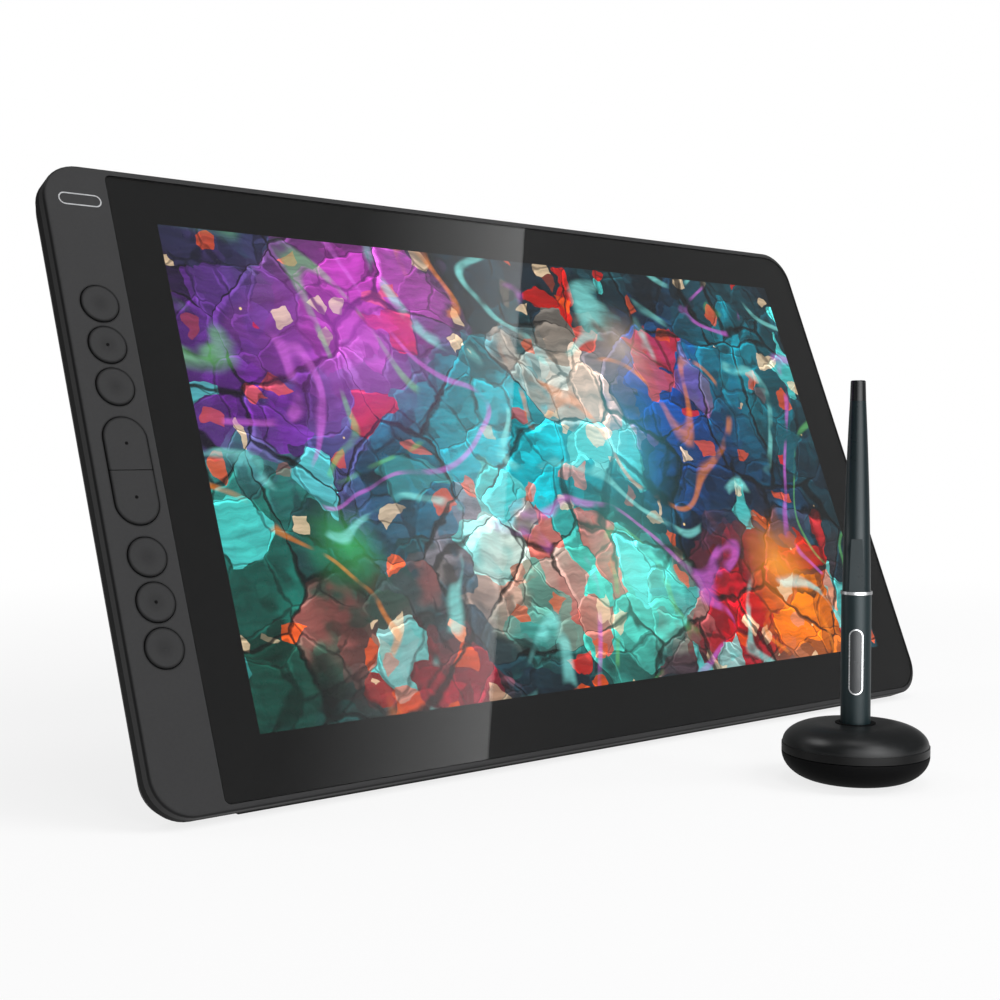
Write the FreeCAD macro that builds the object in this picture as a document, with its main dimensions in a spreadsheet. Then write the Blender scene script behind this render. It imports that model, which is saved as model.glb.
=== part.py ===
import FreeCAD, Part
import Sketcher
import math
import os
import re

# Pen display with its pen and pen stand.
# Millimetres, +Z up. The origin is the middle of the rubber strip that the
# tablet's lower edge rests on, X runs along its width and Y runs backwards.
# The tablet's own pieces are drawn lying flat: x along the width, y up the
# face from the lower front edge, z out of the glass. They are then leaned back.

SIZES = [
    # The tablet as a whole
    ("recline", 68, "angle between the desk and the screen, in degrees"),
    ("bezelLeft", 16.82, "glass left of the lit area"),
    ("bezelRight", 21.42, "glass and rim right of the lit area"),
    ("bezelBelow", 23.8, "glass and rim below the lit area"),
    ("bezelAbove", 19.61, "glass and rim above the lit area"),
    ("cornerRadius", 15, "outer corners, seen from the front"),
    ("frameDepth", 4.6, "front frame, face to parting line"),
    ("sideDepth", 8, "upright part of the sides, face to where the rear cover rakes"),
    ("coverDepth", 6, "raked part of the rear cover"),
    ("frameWall", 1.6, "side wall of the front frame"),
    ("coverWall", 1.5, "wall of the rear cover"),
    ("edgeRound", 1.4, "round on the front edge"),
    ("backRound", 0.9, "round on the rear edge"),
    ("cutOver", 1, "overrun of a cut past an open face"),
    ("lipThick", 1, "lip of the rear cover inside the frame"),
    ("lipRise", 1.4, "how far the lip reaches into the frame"),
    ("lipGap", 0.15, "clearance round the lip"),
    ("lipRoot", 1.3, "lip below the parting line"),
    # Glass and its seat
    ("stripWidth", 24.6, "key strip, side to glass"),
    ("topRim", 2.6, "rim above the glass"),
    ("bottomRim", 2.2, "rim below the glass"),
    ("rightRim", 1.1, "rim beside the glass"),
    ("glassCorner", 2.5, "glass corners beside the key strip"),
    ("glassGap", 0.15, "clearance round the glass"),
    ("glassSink", 0.1, "glass below the frame's face"),
    ("glassThick", 1.2, "cover glass"),
    ("tapeThick", 0.3, "foam tape under the glass"),
    ("tapeInset", 0.6, "tape edge inside the glass edge"),
    ("ledgeThick", 1.2, "ledge that the glass is taped to"),
    ("windowGap", 0.4, "clearance between the cell and the ledge"),
    # Display stack
    ("screenWidth", 344.16, "lit area"),
    ("screenHeight", 193.59, "lit area"),
    ("cellBorder", 3.6, "cell beyond the lit area"),
    ("cellThick", 1, "liquid crystal cell"),
    ("filmThick", 0.6, "stack of three films"),
    ("filmBorder", 2.6, "films beyond the lit area"),
    ("filmDrop", 0.5, "films beyond the lit area, lower edge"),
    ("guideThick", 1.5, "light guide"),
    ("barWidth", 2.6, "strip of lamps along the guide"),
    ("barGap", 0.15, "clearance between lamps and guide"),
    ("lampCount", 24, "lamps in the strip"),
    ("lampWidth", 3.4, "lamp"),
    ("lampDeep", 1, "lamp"),
    ("lampInset", 6, "first lamp from the guide's end"),
    ("lampPitch", 14.4, "lamp to lamp"),
    ("trayThick", 0.4, "floor of the backlight tray"),
    ("traySide", 7, "tray beyond the lit area, sides"),
    ("trayBelow", 7.6, "tray beyond the lit area, lower edge"),
    ("trayAbove", 5.6, "tray beyond the lit area, upper edge"),
    ("trayRim", 0.6, "wall of the tray"),
    ("rimGap", 0.1, "clearance under the ledge"),
    ("digitizerThick", 0.8, "pen sensing board"),
    ("digitizerEdge", 1, "pen sensing board beyond the tray"),
    ("chassisThick", 0.8, "chassis plate"),
    ("chassisSide", 8, "chassis beyond the tray, sides"),
    ("chassisEdge", 3.4, "chassis beyond the tray, above"),
    ("chassisFoot", 5.4, "chassis beyond the tray, below"),
    ("chassisCorner", 3, "chassis corners"),
    # Keys
    ("keyLine", 13.5, "key centres from the tablet's left side"),
    ("keyOffset", 0.3, "middle of the key column above the tablet's middle"),
    ("keyFirst", 31, "first round key from the middle"),
    ("keyPitch", 15.85, "round key to round key"),
    ("keyRadius", 6.95, "round key"),
    ("keyGap", 0.3, "clearance round a key"),
    ("keyProud", 0.6, "key above the frame's face"),
    ("keyRound", 0.5, "round on a key's edge"),
    ("keyFlange", 0.5, "flange beyond the key"),
    ("flangeThick", 0.8, "flange that keeps the key in"),
    ("keyDish", 0.25, "hollow of a round key"),
    ("keyDishRadius", 5.9, "hollow of a round key, across"),
    ("pillWidth", 16, "split long key"),
    ("pillLength", 39.2, "split long key"),
    ("pillSplit", 0.3, "line between its halves"),
    ("stemRadius", 2, "stem under a key"),
    ("stemLength", 1, "stem under a key"),
    ("keyTravel", 0.6, "how far a key moves"),
    ("pressGap", 0.1, "clearance left at the end of a press"),
    ("markRadius", 0.45, "raised dot on a key"),
    ("markRise", 0.22, "raised dot above the hollow"),
    ("switchSide", 4.5, "dome switch"),
    ("switchBody", 1.5, "dome switch without its plunger"),
    ("plungerRise", 0.3, "plunger above the switch"),
    ("plungerRadius", 1, "plunger"),
    ("bayInset", 1.5, "wall between the key bay and the glass"),
    ("bayMargin", 19, "key bay beyond the last key's centre"),
    ("keyBoardThick", 1, "board under the keys"),
    ("keyBoardGap", 1.3, "board to the bay's walls"),
    ("keyPostRise", 22.2, "posts beside the split key, from the middle"),
    ("keyPostSide", 6, "end posts from the key line"),
    ("keyPostInset", 3.6, "posts beside the split key, from the frame's side wall"),
    ("keyPostEnd", 6, "end posts from the bay's ends"),
    ("badgeWidth", 16.3, "badge place"),
    ("badgeHeight", 5, "badge place"),
    ("badgeDrop", 14.2, "badge centre below the upper edge"),
    ("badgeDepth", 0.6, "groove of the badge ring"),
    ("badgeBand", 0.55, "badge ring"),
    ("badgeGap", 0.05, "clearance round the badge ring"),
    # Main board, sockets and power button
    ("boardInset", 7, "main board from the tablet's right side"),
    ("boardLength", 86.5, "main board"),
    ("boardLow", 60, "main board from the lower edge"),
    ("boardHigh", 180, "main board from the lower edge"),
    ("boardThick", 1.2, "main board"),
    ("standoffRise", 1.5, "main board above the chassis"),
    ("standoffRadius", 2.2, "standoff"),
    ("standoffInset", 4.2, "standoff from the board's edges"),
    ("socketWidth", 8.94, "USB-C socket"),
    ("socketHeight", 3.2, "USB-C socket"),
    ("socketLength", 7.4, "USB-C socket"),
    ("socketWall", 0.3, "USB-C socket shell"),
    ("socketGap", 0.3, "clearance round a socket"),
    ("lowerSocket", 92, "lower socket, above the lower edge"),
    ("upperSocket", 120, "upper socket, above the lower edge"),
    ("socketSetback", 1.6, "socket mouth inside the widest side"),
    ("tongueWidth", 6.7, "tongue in a socket"),
    ("tongueThick", 0.7, "tongue in a socket"),
    ("buttonRise", 158, "power button, above the lower edge"),
    ("buttonLength", 12, "power button"),
    ("buttonWidth", 3, "power button"),
    ("buttonFace", 0.5, "power button's face inside the widest side"),
    ("buttonFlange", 0.7, "flange beyond the button"),
    ("buttonSeat", 3.9, "flange face inside the widest side"),
    ("buttonTravel", 0.5, "how far the button moves"),
    ("powerSwitchDeep", 4.5, "power switch"),
    ("powerSwitchHalf", 3, "power switch, half its length"),
    ("powerSwitchDrop", 3.3, "power switch below the board"),
    ("buttonDrop", 2.2, "button and lens below the upright part of the sides"),
    ("lensRise", 172, "indicator lens, above the lower edge"),
    ("lensRadius", 0.9, "indicator lens"),
    ("lensFace", 1, "lens face inside the widest side"),
    ("lampBlock", 3, "indicator lamp on the board"),
    ("lampDrop", 2.7, "indicator lamp below the board"),
    # Screws
    ("coverScrew", 1.25, "cover screw, shank radius"),
    ("coverHead", 2.3, "cover screw, head radius"),
    ("coverHeadRise", 1.5, "cover screw, head height"),
    ("headSink", 2, "cover screw seat inside the back"),
    ("headGap", 0.25, "clearance round a screw head"),
    ("crossLong", 2.6, "cross recess"),
    ("crossWide", 0.6, "cross recess"),
    ("crossDeep", 0.8, "cross recess"),
    ("bossRadius", 3, "boss round a cover screw"),
    ("screwInset", 6.2, "cover screws from the long edges"),
    ("screwCorner", 12.5, "outer cover screws from the sides"),
    ("screwInner", 101, "inner cover screws from the centre line"),
    ("smallScrew", 0.9, "small screw, shank radius"),
    ("smallHead", 1.8, "small screw, head radius"),
    ("smallHeadRise", 1.1, "small screw, head height"),
    ("screwGap", 0.05, "clearance round a shank"),
    ("postRadius", 2.3, "post under a small screw"),
    ("postInset", 3.6, "chassis screws from the chassis' sides"),
    ("postEnd", 8.8, "outer chassis screws inside the lit area's ends"),
    ("tipGap", 0.6, "screw tip to the face above it"),
    # Feet, vents and strip
    ("footRadius", 6, "rear rubber foot"),
    ("footThick", 1.6, "rear rubber foot"),
    ("footSink", 0.6, "rear rubber foot in its seat"),
    ("footInset", 33, "rear feet from the sides"),
    ("footEdge", 25, "rear feet from the long edges"),
    ("stripThick", 0.8, "rubber strip under the lower edge"),
    ("stripEnd", 33.5, "rubber strip from the tablet's sides"),
    ("stripBroad", 4.2, "rubber strip, width"),
    ("ventCount", 14, "vent slots"),
    ("ventPitch", 5, "vent slots, slot to slot"),
    ("ventWidth", 1.8, "vent slot"),
    ("ventLength", 12, "vent slot"),
    ("ventDrop", 45, "vent slots, centre below the upper edge"),
    ("ventInset", 2, "first vent slot right of the main board's left end"),
    # Kickstand
    ("legOpen", 32, "leg opened from the back, in degrees"),
    ("legWidth", 150, "leg plate"),
    ("legThick", 3.4, "leg plate"),
    ("legCorner", 3, "leg plate's corners"),
    ("hingeRise", 150, "hinge above the lower edge"),
    ("hingeSink", 2.8, "hinge axis inside the back"),
    ("barrelRadius", 2.5, "hinge barrel"),
    ("pinRadius", 1, "hinge pin"),
    ("pinGap", 0.05, "running clearance of a pin"),
    ("pinReach", 15, "pin inside the leg"),
    ("knuckleInset", 4, "leg barrel, outer end from the leg's side"),
    ("knuckleLength", 26, "leg barrel"),
    ("hingeGap", 0.3, "hinge block to barrel"),
    ("blockWidth", 7, "hinge block"),
    ("blockReach", 3.2, "hinge block above and below its axis"),
    ("blockSink", 0.3, "hinge block inside the back"),
    ("plateDrop", 4.6, "leg plate's upper edge below the axis"),
    ("recessDepth", 5.6, "recess of the leg"),
    ("recessGap", 1, "clearance round the folded leg"),
    ("recessHead", 5.4, "recess above the hinge axis"),
    ("legFoot", 4, "rubber foot of the leg"),
    ("footEdgeInset", 3, "rubber foot from the leg's sides"),
    ("footOver", 1.5, "rubber foot past the desk, before it is cut level"),
    ("deskCut", 10, "depth of the cut that levels the foot"),
    # Ribbons
    ("flexThick", 0.25, "flat ribbon"),
    ("flexWidth", 12, "key ribbon"),
    ("flexRise", 72, "key ribbon above the lower edge"),
    ("plugRise", 1.1, "ribbon connector"),
    ("plugDepth", 5, "ribbon connector"),
    ("plugBroad", 14, "ribbon connector"),
    ("bendRoom", 6, "ribbon between its bend and the board"),
    ("wideFlex", 34, "display ribbon"),
    ("wideFlexInset", 18, "display ribbon from the main board's left end"),
    ("slotDrop", 1, "ribbon slot below the tray"),
    ("slotWidth", 1.6, "ribbon slot"),
    ("slotMargin", 1, "ribbon slot beyond the ribbon"),
    ("shortFlex", 14, "pen board ribbon"),
    ("shortFlexInset", 36, "pen board ribbon from the main board's left end"),
    ("shortFlexRoom", 10.5, "pen board ribbon's slot above the main board"),
    # Pen, from the tip of its nib upwards
    ("standX", 30, "pen and stand, right of the centre line"),
    ("standY", -101, "pen and stand, in front of the tablet"),
    ("penTurn", -53, "turn of the pen about its own axis, in degrees"),
    ("penSeat", 3.6, "nib above the desk"),
    ("penLength", 142.5, "nib to tail"),
    ("gripRadius", 5.4, "lower barrel"),
    ("gripTip", 1.5, "lower barrel at its tip"),
    ("gripStart", 2.2, "lower barrel's tip above the nib's tip"),
    ("gripCone", 17, "where the tip has widened to the barrel"),
    ("gripBow", 66, "curve of the tip"),
    ("boreLow", 8, "bore of the tip, lower end"),
    ("boreTip", 1.7, "bore of the tip, radius there"),
    ("boreCone", 18.5, "where the bore has widened"),
    ("penWall", 1, "barrel wall"),
    ("ringLow", 64.75, "silver ring, lower face"),
    ("ringHeight", 1.1, "silver ring"),
    ("ringRadius", 5.7, "silver ring"),
    ("spigotRise", 5, "joint between the barrels"),
    ("spigotGap", 0.1, "clearance of that joint"),
    ("rearRadius", 5.05, "upper barrel at the ring"),
    ("rearTop", 2.9, "upper barrel at the tail cap"),
    ("rearBow", 1750, "curve of the upper barrel"),
    ("capHeight", 7.45, "tail cap"),
    ("capTop", 2.68, "tail cap at its end"),
    ("capChamfer", 0.35, "tail cap's end"),
    ("capPlug", 4, "tail cap inside the barrel"),
    ("capPlugGap", 0.08, "clearance of the cap's plug"),
    ("facetDepth", 0.75, "thumb flat on the upper barrel"),
    ("facetTop", 85, "thumb flat, upper end"),
    ("rockerMiddle", 40.4, "side switch, centre"),
    ("rockerLength", 24, "side switch with its trim"),
    ("rockerWidth", 5.2, "side switch with its trim"),
    ("trimBand", 0.5, "silver trim"),
    ("trimProud", 0.12, "silver trim outside the barrel"),
    ("trimGap", 0.05, "clearance round the trim"),
    ("rockerGap", 0.1, "clearance round the side switch"),
    ("rockerProud", 0.25, "side switch outside the barrel"),
    ("rockerThick", 1.3, "side switch"),
    ("rockerStud", 7, "studs from the switch's centre"),
    ("rockerMark", 0.8, "raised bar on the side switch, half its width"),
    ("rockerMarkRise", 0.12, "raised bar on the side switch"),
    ("studRadius", 0.9, "stud under the side switch"),
    ("studLength", 0.9, "stud under the side switch"),
    ("pivotRadius", 0.6, "ridge that the side switch rocks on"),
    ("nibRadius", 0.8, "nib"),
    ("nibLength", 16, "nib"),
    ("nibGap", 0.08, "clearance of the nib in the tip"),
    ("plungerTop", 21.2, "nib plunger, upper end"),
    ("coilLow", 11.8, "coil"),
    ("coilHigh", 19, "coil"),
    ("coilRadius", 2.4, "coil"),
    ("ferriteRadius", 1.55, "ferrite sleeve"),
    ("ferriteBore", 0.95, "ferrite sleeve"),
    ("ferriteLow", 11, "ferrite sleeve"),
    ("ferriteHigh", 20.5, "ferrite sleeve"),
    ("sensorLow", 22, "pressure sensor"),
    ("sensorHigh", 27, "pressure sensor"),
    ("sensorGap", 0.1, "pressure sensor to the barrel"),
    ("penBoardTop", 59, "pen board, upper end"),
    ("penBoardWidth", 5, "pen board"),
    ("penBoardThick", 0.8, "pen board"),
    ("penSwitchSide", 3, "switches on the pen board"),
    ("penSwitchRise", 2.6, "switches on the pen board"),
    # Stand, from the desk upwards
    ("standRadius", 26.55, "stand at its widest"),
    ("standHeight", 21, "stand"),
    ("standWaist", 10.4, "height of the line between the shells"),
    ("standBand", 2.8, "upright band round the upper shell"),
    ("bandStep", 0.3, "dome inside the band"),
    ("standFlat", 13.6, "radius of the flat top and bottom"),
    ("standWall", 1.6, "wall of both shells"),
    ("standSeam", 0.3, "line between the shells"),
    ("standLift", 0.4, "lower shell above the desk"),
    ("skirtDrop", 1.8, "upper shell's skirt inside the lower"),
    ("skirtGap", 0.4, "clearance of the skirt"),
    ("skirtThick", 1, "skirt"),
    ("skirtRoot", 1.2, "skirt's step inside the upper shell"),
    ("collarRadius", 6.9, "pen liner, outside"),
    ("collarGap", 0.1, "upper shell to the pen liner"),
    ("collarRim", 0.2, "liner's rim above the shell's face"),
    ("linerGap", 0.3, "pen liner to the pen"),
    ("linerFloor", 1, "pen liner under the nib"),
    ("weightInner", 8.6, "steel ring"),
    ("weightOuter", 13.3, "steel ring"),
    ("weightHeight", 3.2, "steel ring"),
    ("rackInner", 8, "nib rack"),
    ("rackOuter", 21.4, "nib rack"),
    ("rackThick", 2, "nib rack"),
    ("spareCount", 10, "spare nibs"),
    ("spareCircle", 18, "circle of the spare nibs"),
    ("spareLow", 4.4, "spare nib, lower end"),
    ("spareLength", 10, "spare nib"),
    ("spareGap", 0.06, "clearance of a spare nib"),
    ("pullerRadius", 2.6, "nib puller ring"),
    ("pullerBore", 1.7, "nib puller ring"),
    ("pullerThick", 1.2, "nib puller ring"),
    ("pullerCircle", 12.4, "nib puller from the stand's axis"),
    ("pullerTurn", 18, "nib puller round the axis, in degrees"),
    ("padInner", 8.6, "rubber ring under the stand"),
    ("padOuter", 13, "rubber ring under the stand"),
    ("padThick", 1, "rubber ring under the stand"),
]

ALIASES = {alias for alias, size, note in SIZES}
DERIVED = {
    "bodyWidth": "(stripWidth + bezelLeft + screenWidth + bezelRight)",
    "bodyHeight": "(bezelBelow + screenHeight + bezelAbove)",
    "screenShift": "(stripWidth + bezelLeft + screenWidth / 2 - bodyWidth / 2)",
    "screenRise": "(bezelBelow + screenHeight / 2)",
    "keyMiddle": "(bodyHeight / 2 + keyOffset)",
    "boardRight": "(bodyWidth / 2 - boardInset)",
    "boardLeft": "(boardRight - boardLength)",
    "postSpread": "(screenHeight / 2 - postEnd)",
    "stripReach": "(bodyWidth - 2 * stripEnd)",
    "ventStart": "(boardLeft + ventInset)",
    "ventRise": "(bodyHeight - ventDrop)",
    "knuckleStart": "(legWidth / 2 - knuckleInset - knuckleLength)",
    "wideFlexStart": "(boardLeft + wideFlexInset)",
    "shortFlexStart": "(boardLeft + shortFlexInset)",
}
MARKED_KEYS = (2, 4, 5, 7)
ROUND_KEYS = {1: (1, 2), 2: (1, 1), 3: (1, 0), 6: (-1, 0), 7: (-1, 1), 8: (-1, 2)}
SPLIT_KEYS = {4: 1, 5: -1}

doc = FreeCAD.newDocument("PenDisplay")
sheet = doc.addObject("Spreadsheet::Sheet", "Sizes")
for row, (alias, size, note) in enumerate(SIZES, 1):
    sheet.set(f"A{row}", note)
    sheet.set(f"B{row}", str(size))
    sheet.setAlias(f"B{row}", alias)
doc.recompute()

nodes = {}


# Expressions over the sheet

def sized(text):
    """Write out the derived sizes in an expression, and put the sheet's name in front of each alias."""
    def written(word):
        if word[0] in DERIVED:
            return sized(DERIVED[word[0]])
        return ("Sizes." if word[0] in ALIASES else "") + word[0]
    return re.sub(r"[A-Za-z]\w*", written, text)


def value(text):
    """The present value of an expression over the sheet."""
    return float(sheet.evalExpression(sized(text)))


def bind(thing, prop, text):
    thing.setExpression(prop, sized(text))


def bind_place(thing, at, prefix="Placement.Base."):
    for axis, text in zip("xyz", at):
        bind(thing, prefix + axis, text)


# Depths behind the tablet's front face

SEAT = "(glassSink + glassThick + tapeThick)"
LEDGE = f"({SEAT} + ledgeThick)"
CELL_TOP = "(glassSink + glassThick)"
FILM_TOP = f"({CELL_TOP} + cellThick)"
GUIDE_TOP = f"({FILM_TOP} + filmThick)"
TRAY_TOP = f"({GUIDE_TOP} + guideThick)"
DIGITIZER_TOP = f"({TRAY_TOP} + trayThick)"
CHASSIS_TOP = f"({DIGITIZER_TOP} + digitizerThick)"
CHASSIS_BACK = f"({CHASSIS_TOP} + chassisThick)"
BOARD_TOP = f"({CHASSIS_BACK} + standoffRise)"
BOARD_BACK = f"({BOARD_TOP} + boardThick)"
BACK = "(sideDepth + coverDepth)"
INNER_BACK = f"({BACK} - coverWall)"
FLANGE_BACK = f"({SEAT} + flangeThick)"
STEM_END = f"({FLANGE_BACK} + stemLength)"
PLUNGER_END = f"({STEM_END} + keyTravel + pressGap)"
SWITCH_TOP = f"({PLUNGER_END} + plungerRise)"
KEY_BOARD_TOP = f"({SWITCH_TOP} + switchBody)"
KEY_BOARD_BACK = f"({KEY_BOARD_TOP} + keyBoardThick)"
RECESS_FLOOR = f"({BACK} - recessDepth)"
HINGE_DEPTH = f"({BACK} - hingeSink)"
SIDE_PORT = "(sideDepth + buttonDrop)"
SOCKET_DEPTH = f"({BOARD_BACK} + socketHeight / 2)"
HEAD_SEAT = f"({BACK} - headSink)"

# Outlines seen from the front

SIDE = "(bodyWidth / 2)"
RAKE = "tan(90 - recline)"
GLASS_LEFT = "(-bodyWidth / 2 + stripWidth)"
KEY_X = "(-bodyWidth / 2 + keyLine)"
CELL_LEFT = "(screenShift - screenWidth / 2 - cellBorder)"
CELL_RIGHT = "(screenShift + screenWidth / 2 + cellBorder)"
CELL_LOW = "(screenRise - screenHeight / 2 - cellBorder)"
CELL_HIGH = "(screenRise + screenHeight / 2 + cellBorder)"
FILM_LEFT = "(screenShift - screenWidth / 2 - filmBorder)"
FILM_RIGHT = "(screenShift + screenWidth / 2 + filmBorder)"
FILM_LOW = "(screenRise - screenHeight / 2 - filmDrop)"
FILM_HIGH = "(screenRise + screenHeight / 2 + filmBorder)"
TRAY_LEFT = "(screenShift - screenWidth / 2 - traySide)"
TRAY_RIGHT = "(screenShift + screenWidth / 2 + traySide)"
TRAY_LOW = "(screenRise - screenHeight / 2 - trayBelow)"
TRAY_HIGH = "(screenRise + screenHeight / 2 + trayAbove)"
TRAY_MIDDLE = f"(({TRAY_LOW} + {TRAY_HIGH}) / 2)"
LAST_KEY = "(keyFirst + 2 * keyPitch)"
BAY_LOW = f"(keyMiddle - {LAST_KEY} - bayMargin)"
BAY_HIGH = f"(keyMiddle + {LAST_KEY} + bayMargin)"
BAY_LEFT = f"(-{SIDE} + frameWall)"
BAY_RIGHT = f"({GLASS_LEFT} - bayInset)"
BADGE_Y = "(bodyHeight - badgeDrop)"
SLOT_Y = f"({TRAY_LOW} - slotDrop - slotWidth / 2)"
SHORT_SLOT_Y = "(boardHigh + shortFlexRoom)"

# Where the leaned tablet and its leg stand

FACET_Y = f"(coverDepth / 2 * {RAKE} * cos(recline) + (sideDepth + coverDepth / 2) * sin(recline))"
TABLET_Y = f"(-{FACET_Y})"
TABLET_Z = "(sideDepth * cos(recline) + stripThick)"
HINGE_Y = f"({TABLET_Y} + hingeRise * cos(recline) + {HINGE_DEPTH} * sin(recline))"
HINGE_Z = f"({TABLET_Z} + hingeRise * sin(recline) - {HINGE_DEPTH} * cos(recline))"
LEG_REACH = f"({HINGE_Z} / sin(recline + legOpen))"

# Heights in the pen and the stand

RING_TOP = "(ringLow + ringHeight)"
CAP_LOW = "(penLength - capHeight)"
SPIGOT = "(rearRadius - penWall - spigotGap)"
SEAM_TOP = "(standWaist + standSeam)"
BAND_TOP = f"({SEAM_TOP} + standBand)"
FLOOR_TOP = "(standLift + standWall)"
RACK_LOW = f"({FLOOR_TOP} + weightHeight)"


# Where pieces stand

def leaned(thing):
    """Lean a piece of the tablet back onto its lower edge."""
    thing.Placement.Rotation = FreeCAD.Rotation(FreeCAD.Vector(1, 0, 0), 1)
    bind(thing, "Placement.Rotation.Angle", "recline")
    bind_place(thing, ("0", TABLET_Y, TABLET_Z))


def on_hinge(thing):
    """Hang a piece of the leg on its hinge, opened."""
    thing.Placement.Rotation = FreeCAD.Rotation(FreeCAD.Vector(1, 0, 0), 1)
    bind(thing, "Placement.Rotation.Angle", "recline + legOpen")
    bind_place(thing, ("0", HINGE_Y, HINGE_Z))


def flat(thing):
    """Leave a piece where it is drawn."""
    thing.Placement = FreeCAD.Placement()


def on_stand(thing):
    """Move a piece of the pen's stand beside the tablet."""
    bind_place(thing, ("standX", "standY", "0"))


def as_pen(thing):
    """Put a piece of the pen into the stand, its side switch turned outwards."""
    thing.Placement.Rotation = FreeCAD.Rotation(FreeCAD.Vector(0, 0, 1), 1)
    bind(thing, "Placement.Rotation.Angle", "penTurn")
    bind_place(thing, ("standX", "standY", "penSeat"))


def new_body(name, place=None):
    """One sub-part; without a place it is only a tool for another one."""
    body = doc.addObject("PartDesign::Body", name.title().replace("_", ""))
    body.Label = name
    body.AllowCompound = True
    if place:
        nodes[name] = body
        place(body)
    return body


def common(name, first, second, place):
    """A sub-part that is what two shapes share."""
    shared = doc.addObject("Part::Common", name.title().replace("_", ""))
    shared.Label = name
    shared.Base = first
    shared.Tool = second
    nodes[name] = shared
    place(shared)
    return shared


# Features of a body

def block(body, name, low, high, cut=False):
    """A box between two corners."""
    piece = body.newObject("PartDesign::" + ("Subtractive" if cut else "Additive") + "Box", name)
    bind_place(piece, low)
    for side, start, end in zip(("Length", "Width", "Height"), low, high):
        bind(piece, side, f"({end}) - ({start})")
    return piece


def rod(body, name, low, radius, length, along="z", cut=False):
    """A cylinder from the middle of its low end, along an axis."""
    piece = body.newObject("PartDesign::" + ("Subtractive" if cut else "Additive") + "Cylinder", name)
    turns = {"x": FreeCAD.Rotation(FreeCAD.Vector(0, 1, 0), 90),
             "y": FreeCAD.Rotation(FreeCAD.Vector(1, 0, 0), -90),
             "z": FreeCAD.Rotation()}
    piece.Placement = FreeCAD.Placement(FreeCAD.Vector(), turns[along])
    bind_place(piece, low)
    bind(piece, "Radius", radius)
    bind(piece, "Height", length)
    return piece


def new_sketch(body, name, plane, at):
    """A sketch on one of the body's own planes, with its origin moved to a point of the body."""
    sketch = body.newObject("Sketcher::SketchObject", name)
    origin_plane = next(item for item in body.Origin.OriginFeatures if item.Role == plane + "_Plane")
    sketch.AttachmentSupport = [(origin_plane, "")]
    sketch.MapMode = "FlatFace"
    x, y, z = at
    local = {"XY": (x, y, z), "YZ": (y, z, x), "XZ": (x, z, f"-({y})")}[plane]
    bind_place(sketch, local, "AttachmentOffset.Base.")
    return sketch


def tie(sketch, kind, *where):
    """Add a constraint without a size."""
    sketch.addConstraint(Sketcher.Constraint(kind, *where))


def limit(sketch, kind, *where):
    """Add a constraint whose size is the expression given last."""
    index = sketch.addConstraint(Sketcher.Constraint(kind, *where[:-1], value(where[-1])))
    bind(sketch, f"Constraints[{index}]", where[-1])


def arc(middle, radius, start, end):
    circle = Part.Circle(FreeCAD.Vector(*middle, 0), FreeCAD.Vector(0, 0, 1), radius)
    return Part.ArcOfCircle(circle, math.radians(start), math.radians(end))


def line(start, end):
    return Part.LineSegment(FreeCAD.Vector(*start, 0), FreeCAD.Vector(*end, 0))


def draw_rounded(sketch, width, height, left, right):
    """A rectangle from the sketch's origin, with one radius at its left and one at its right corners."""
    w, tall, a, b = (value(text) for text in (width, height, left, right))
    for shape in (line((a, 0), (w - b, 0)), arc((w - b, b), b, -90, 0),
                  line((w, b), (w, tall - b)), arc((w - b, tall - b), b, 0, 90),
                  line((w - b, tall), (a, tall)), arc((a, tall - a), a, 90, 180),
                  line((0, tall - a), (0, a)), arc((a, a), a, 180, 270)):
        sketch.addGeometry(shape, False)
    for index in range(8):
        tie(sketch, "Tangent", index, 2, (index + 1) % 8, 1)
    for index in (0, 4):
        tie(sketch, "Horizontal", index)
    for index in (2, 6):
        tie(sketch, "Vertical", index)
    tie(sketch, "PointOnObject", 0, 1, -1)
    tie(sketch, "PointOnObject", 6, 1, -2)
    tie(sketch, "Equal", 1, 3)
    tie(sketch, "Equal", 5, 7)
    limit(sketch, "Radius", 1, right)
    limit(sketch, "Radius", 5, left)
    limit(sketch, "DistanceX", 6, 1, 2, 1, width)
    limit(sketch, "DistanceY", 0, 1, 4, 1, height)


def draw_pill(sketch, long, short, level):
    """A pill about the sketch's origin, its length along the sketch's x when level, else along y."""
    radius = value(short) / 2
    reach = (value(long) - value(short)) / 2
    turn = -90 if level else 0

    def spot(x, y):
        return (y, -x) if level else (x, y)

    for shape in (line(spot(radius, -reach), spot(radius, reach)),
                  arc(spot(0, reach), radius, turn, turn + 180),
                  line(spot(-radius, reach), spot(-radius, -reach)),
                  arc(spot(0, -reach), radius, turn + 180, turn + 360)):
        sketch.addGeometry(shape, False)
    for index in range(4):
        tie(sketch, "Tangent", index, 2, (index + 1) % 4, 1)
    tie(sketch, "Horizontal" if level else "Vertical", 0)
    tie(sketch, "Equal", 1, 3)
    tie(sketch, "PointOnObject", 1, 3, -1 if level else -2)
    limit(sketch, "Radius", 1, f"({short}) / 2")
    axis = "DistanceX" if level else "DistanceY"
    limit(sketch, axis, 3, 3, 1, 3, f"({long}) - ({short})")
    limit(sketch, axis, -1, 1, 1, 3, f"(({long}) - ({short})) / 2")


def raise_sketch(body, sketch, name, length, cut):
    """Pad a sketch along its normal, or cut that way."""
    feature = body.newObject("PartDesign::" + ("Pocket" if cut else "Pad"), name)
    feature.Profile = sketch
    feature.Reversed = cut
    bind(feature, "Length", length)
    return feature


def slab(body, name, low, high, corner, right=None, cut=False):
    """A plate between two corner points, with rounded corners."""
    width, height, depth = (f"({end}) - ({start})" for start, end in zip(low, high))
    sketch = new_sketch(body, name + "Outline", "XY", low)
    draw_rounded(sketch, width, height, corner, right or corner)
    return raise_sketch(body, sketch, name, depth, cut)


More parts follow.
